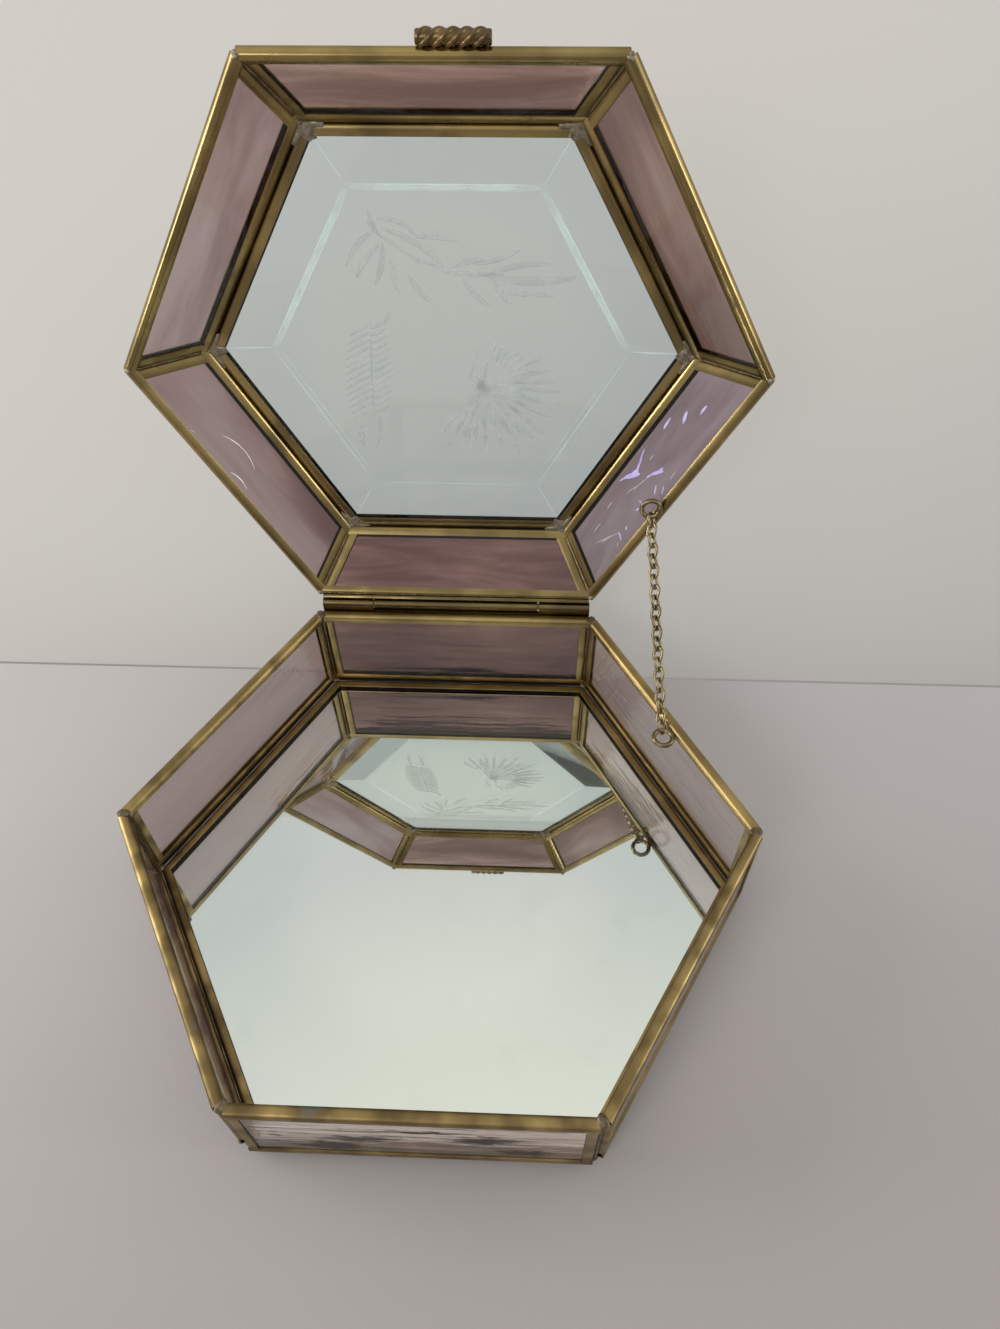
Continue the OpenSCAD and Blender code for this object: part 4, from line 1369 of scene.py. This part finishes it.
@dataclass
class ThumbLift:
    """Short rod of three twisted strands, soldered along the lid's front rim."""

    sizes: BoxSizes = SIZES
    length: float = 13.5
    across: float = 3.6
    lead: float = 7.8
    out: float = 3.4
    drop: float = 0.8
    right: float = 4.1

    def _outline(self, turn: float) -> float:
        """Radius of the three strands' outline at an angle."""
        strand = self.across / 2 / (1 + 2 / math.sqrt(3))
        middle = self.across / 2 - strand
        off = (turn + math.pi / 3) % (2 * math.pi / 3) - math.pi / 3
        return middle * math.cos(off) + math.sqrt(max(strand**2 - (middle * math.sin(off)) ** 2, 0))

    def build(self) -> None:
        """Builds the rod."""
        mesh = bmesh.new()
        ring = bmesh.ops.create_circle(mesh, cap_ends=True, segments=36, radius=1.0)["verts"]
        for vert in ring:
            vert.co *= self._outline(math.atan2(vert.co.y, vert.co.x))
        face = mesh.faces[:][0]
        steps = 84
        for _ in range(steps):
            grown = bmesh.ops.extrude_face_region(mesh, geom=[face])["geom"]
            verts = [g for g in grown if isinstance(g, bmesh.types.BMVert)]
            face = next(g for g in grown if isinstance(g, bmesh.types.BMFace))
            bmesh.ops.translate(mesh, vec=(0, 0, self.length / steps), verts=verts)
            bmesh.ops.rotate(mesh, cent=(0, 0, 0), verts=verts,
                             matrix=Matrix.Rotation(-2 * math.pi * self.length / self.lead / steps, 3, "Z"))
        core = Matrix.Translation((0, 0, self.length / 2))
        made = bmesh.ops.create_cone(mesh, cap_ends=True, segments=24, radius1=self.across * 0.4,
                                     radius2=self.across * 0.4, depth=self.length + 1.2, matrix=core)["verts"]
        rims = [e for v in made for e in v.link_edges if abs(abs(v.co.z - self.length / 2) - self.length / 2 - 0.6) < 1e-3]
        bmesh.ops.bevel(mesh, geom=list(set(rims)), offset=0.3, segments=2, profile=0.5, affect="EDGES", material=-1)
        place = Matrix.Translation((-self.right - self.length / 2, self.out, -self.drop))
        frame = self.sizes.pane(Side.FRONT) @ place @ Matrix.Rotation(math.pi / 2, 4, "Y")
        # Painted shade: brass darkened overall for the rod's shaded underside and grooves; its brown patches are
        # tarnish.
        finish = AgedBrass("thumb lift brass darkened for shade", gold=(0.27, 0.185, 0.085), olive=(0.15, 0.105, 0.055),
                           brown=(0.05, 0.036, 0.02), brown_share=0.08).make()
        rod = keep_mesh("twisted_lift", mesh, frame, Body.LID, [finish], 50)
        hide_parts("thumb_lift")


@dataclass
class Studio:
    """Pale floor and leaning backdrop, soft light, and the camera."""

    eye: Point = (21.87, -120.66, 240.2)
    look: Point = (-0.0322, 0.6301, -0.7758)
    right: Point = (0.99919, 0.03892, -0.00990)
    lens: float = 27.02
    wall_at: float = 70.9
    wall_lean: float = 27.0
    crack: float = 0.8

    def _sheet(self, name: str, size: tuple[float, float], frame: Matrix, finish: PaleBoard) -> None:
        """Lays one flat board of the surroundings, drawn from its near edge."""
        mesh = bmesh.new()
        bmesh.ops.create_grid(mesh, x_segments=1, y_segments=1, size=0.5,
                              matrix=Matrix.Diagonal((size[0], size[1], 1, 1)) @ Matrix.Translation((0, 0.5, 0)))
        keep_mesh(name, mesh, frame, None, [finish.make()])

    def _boards(self) -> None:
        """Lays the floor and stands the backdrop behind the box."""
        table = PaleBoard("table", (0.555, 0.53, 0.535), (0.405, 0.372, 0.372), (0.25, -0.97, 0.0), -80.0, 135.0)
        board = PaleBoard("backdrop", (0.665, 0.64, 0.595), (0.46, 0.45, 0.43), (0.38, 0.0, -0.85), -160.0, 130.0, 0.75)
        self._sheet("floor", (4000, 3000), Matrix.Translation((0, self.wall_at - self.crack - 3000, -0.02)), table)
        self._sheet("floor_behind", (4000, 3000), Matrix.Translation((0, self.wall_at + self.crack, -0.02)), table)
        lean = Matrix.Rotation(math.radians(90 - self.wall_lean), 4, "X")
        self._sheet("wall", (4000, 900), Matrix.Translation((0, self.wall_at, -0.02)) @ lean, board)

    def _lamp(self, name: str, place: Point, aim: Point, size: float, power: float, colour: Colour) -> None:
        """Hangs one soft square lamp.

        Args:
            name: Its name.
            place: Where it hangs, in millimetres.
            aim: What it points at.
            size: Its side, in millimetres.
            power: Its power.
            colour: Its colour.
        """
        data = bpy.data.lights.new(name, "AREA")
        data.size = size * 0.001
        data.energy = power
        data.color = colour
        lamp = bpy.data.objects.new(name, data)
        lamp.location = Vector(place) * 0.001
        lamp.rotation_mode = "QUATERNION"
        lamp.rotation_quaternion = (Vector(aim) - Vector(place)).to_track_quat("-Z", "Y")
        bpy.context.scene.collection.objects.link(lamp)

    def _world(self) -> None:
        """Lights the room evenly, brighter overhead than at the viewer's side."""
        world = bpy.data.worlds.new("room")
        bpy.context.scene.world = world
        world.use_nodes = True
        nodes, links = world.node_tree.nodes, world.node_tree.links
        back = next(n for n in nodes if n.type == "BACKGROUND")
        where = nodes.new("ShaderNodeTexCoord")
        parts = nodes.new("ShaderNodeSeparateXYZ")
        ramp = nodes.new("ShaderNodeValToRGB")
        links.new(where.outputs["Generated"], parts.inputs[0])
        links.new(parts.outputs["Z"], ramp.inputs["Fac"])
        stops = ((0.0, (0.30, 0.29, 0.28)), (0.40, (0.58, 0.575, 0.565)), (0.88, (0.63, 0.64, 0.625)), (0.97, (0.85, 0.83, 0.745)))
        while len(ramp.color_ramp.elements) < len(stops):
            ramp.color_ramp.elements.new(0.5)
        for element, (place, colour) in zip(ramp.color_ramp.elements, stops):
            element.position = place
            element.color = (*colour, 1.0)
        links.new(ramp.outputs["Color"], back.inputs["Color"])
        back.inputs["Strength"].default_value = 1.0

    def _camera(self) -> None:
        """Stands the camera where the picture was taken from."""
        data = bpy.data.cameras.new("camera")
        data.lens = self.lens
        data.sensor_width = 36.0
        data.clip_start = 0.01
        data.clip_end = 20.0
        camera = bpy.data.objects.new("camera", data)
        back = -Vector(self.look).normalized()
        across = Vector(self.right).normalized()
        up = back.cross(across).normalized()
        across = up.cross(back)
        turn = Matrix((across, up, back)).transposed().to_4x4()
        camera.matrix_world = Matrix.Translation(Vector(self.eye) * 0.001) @ turn
        bpy.context.scene.collection.objects.link(camera)
        bpy.context.scene.camera = camera

    def build(self) -> None:
        """Sets up the surroundings."""
        bpy.context.scene.view_settings.view_transform = "Standard"
        self._boards()
        self._world()
        self._lamp("window", (-549, -879, 759), (0, 0, 60), 400, 3.0, (1.0, 0.98, 0.95))
        self._lamp("key", (-830, 170, 480), (0, 20, 30), 450, 2.7, (1.0, 0.97, 0.93))
        self._lamp("fill", (900, 110, 450), (0, 20, 30), 500, 1.1, (0.97, 0.98, 1.0))
        self._lamp("left glint", (-935, -75, 245), (0, 40, 80), 200, 1.7, (1.0, 0.99, 0.96))
        self._lamp("right glint", (910, -150, 290), (0, 40, 80), 200, 0.9, (1.0, 0.99, 0.96))
        self._camera()


def main() -> None:
    """Builds the whole box in order."""
    logging.basicConfig(level=logging.INFO, format="%(name)s: %(message)s")
    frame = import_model()
    log.info("frame loaded: %s", type(frame).__name__)
    parts: list[Any] = [
        Framework(), TintedPanes(), MirrorFloor(), ClearPane(), SolderWork(), Hinge(), StayChain(), ThumbLift(), Studio(),
    ]
    for part in parts:
        part.build()
        log.info("built %s", type(part).__name__)


if __name__ == "__main__":
    main()
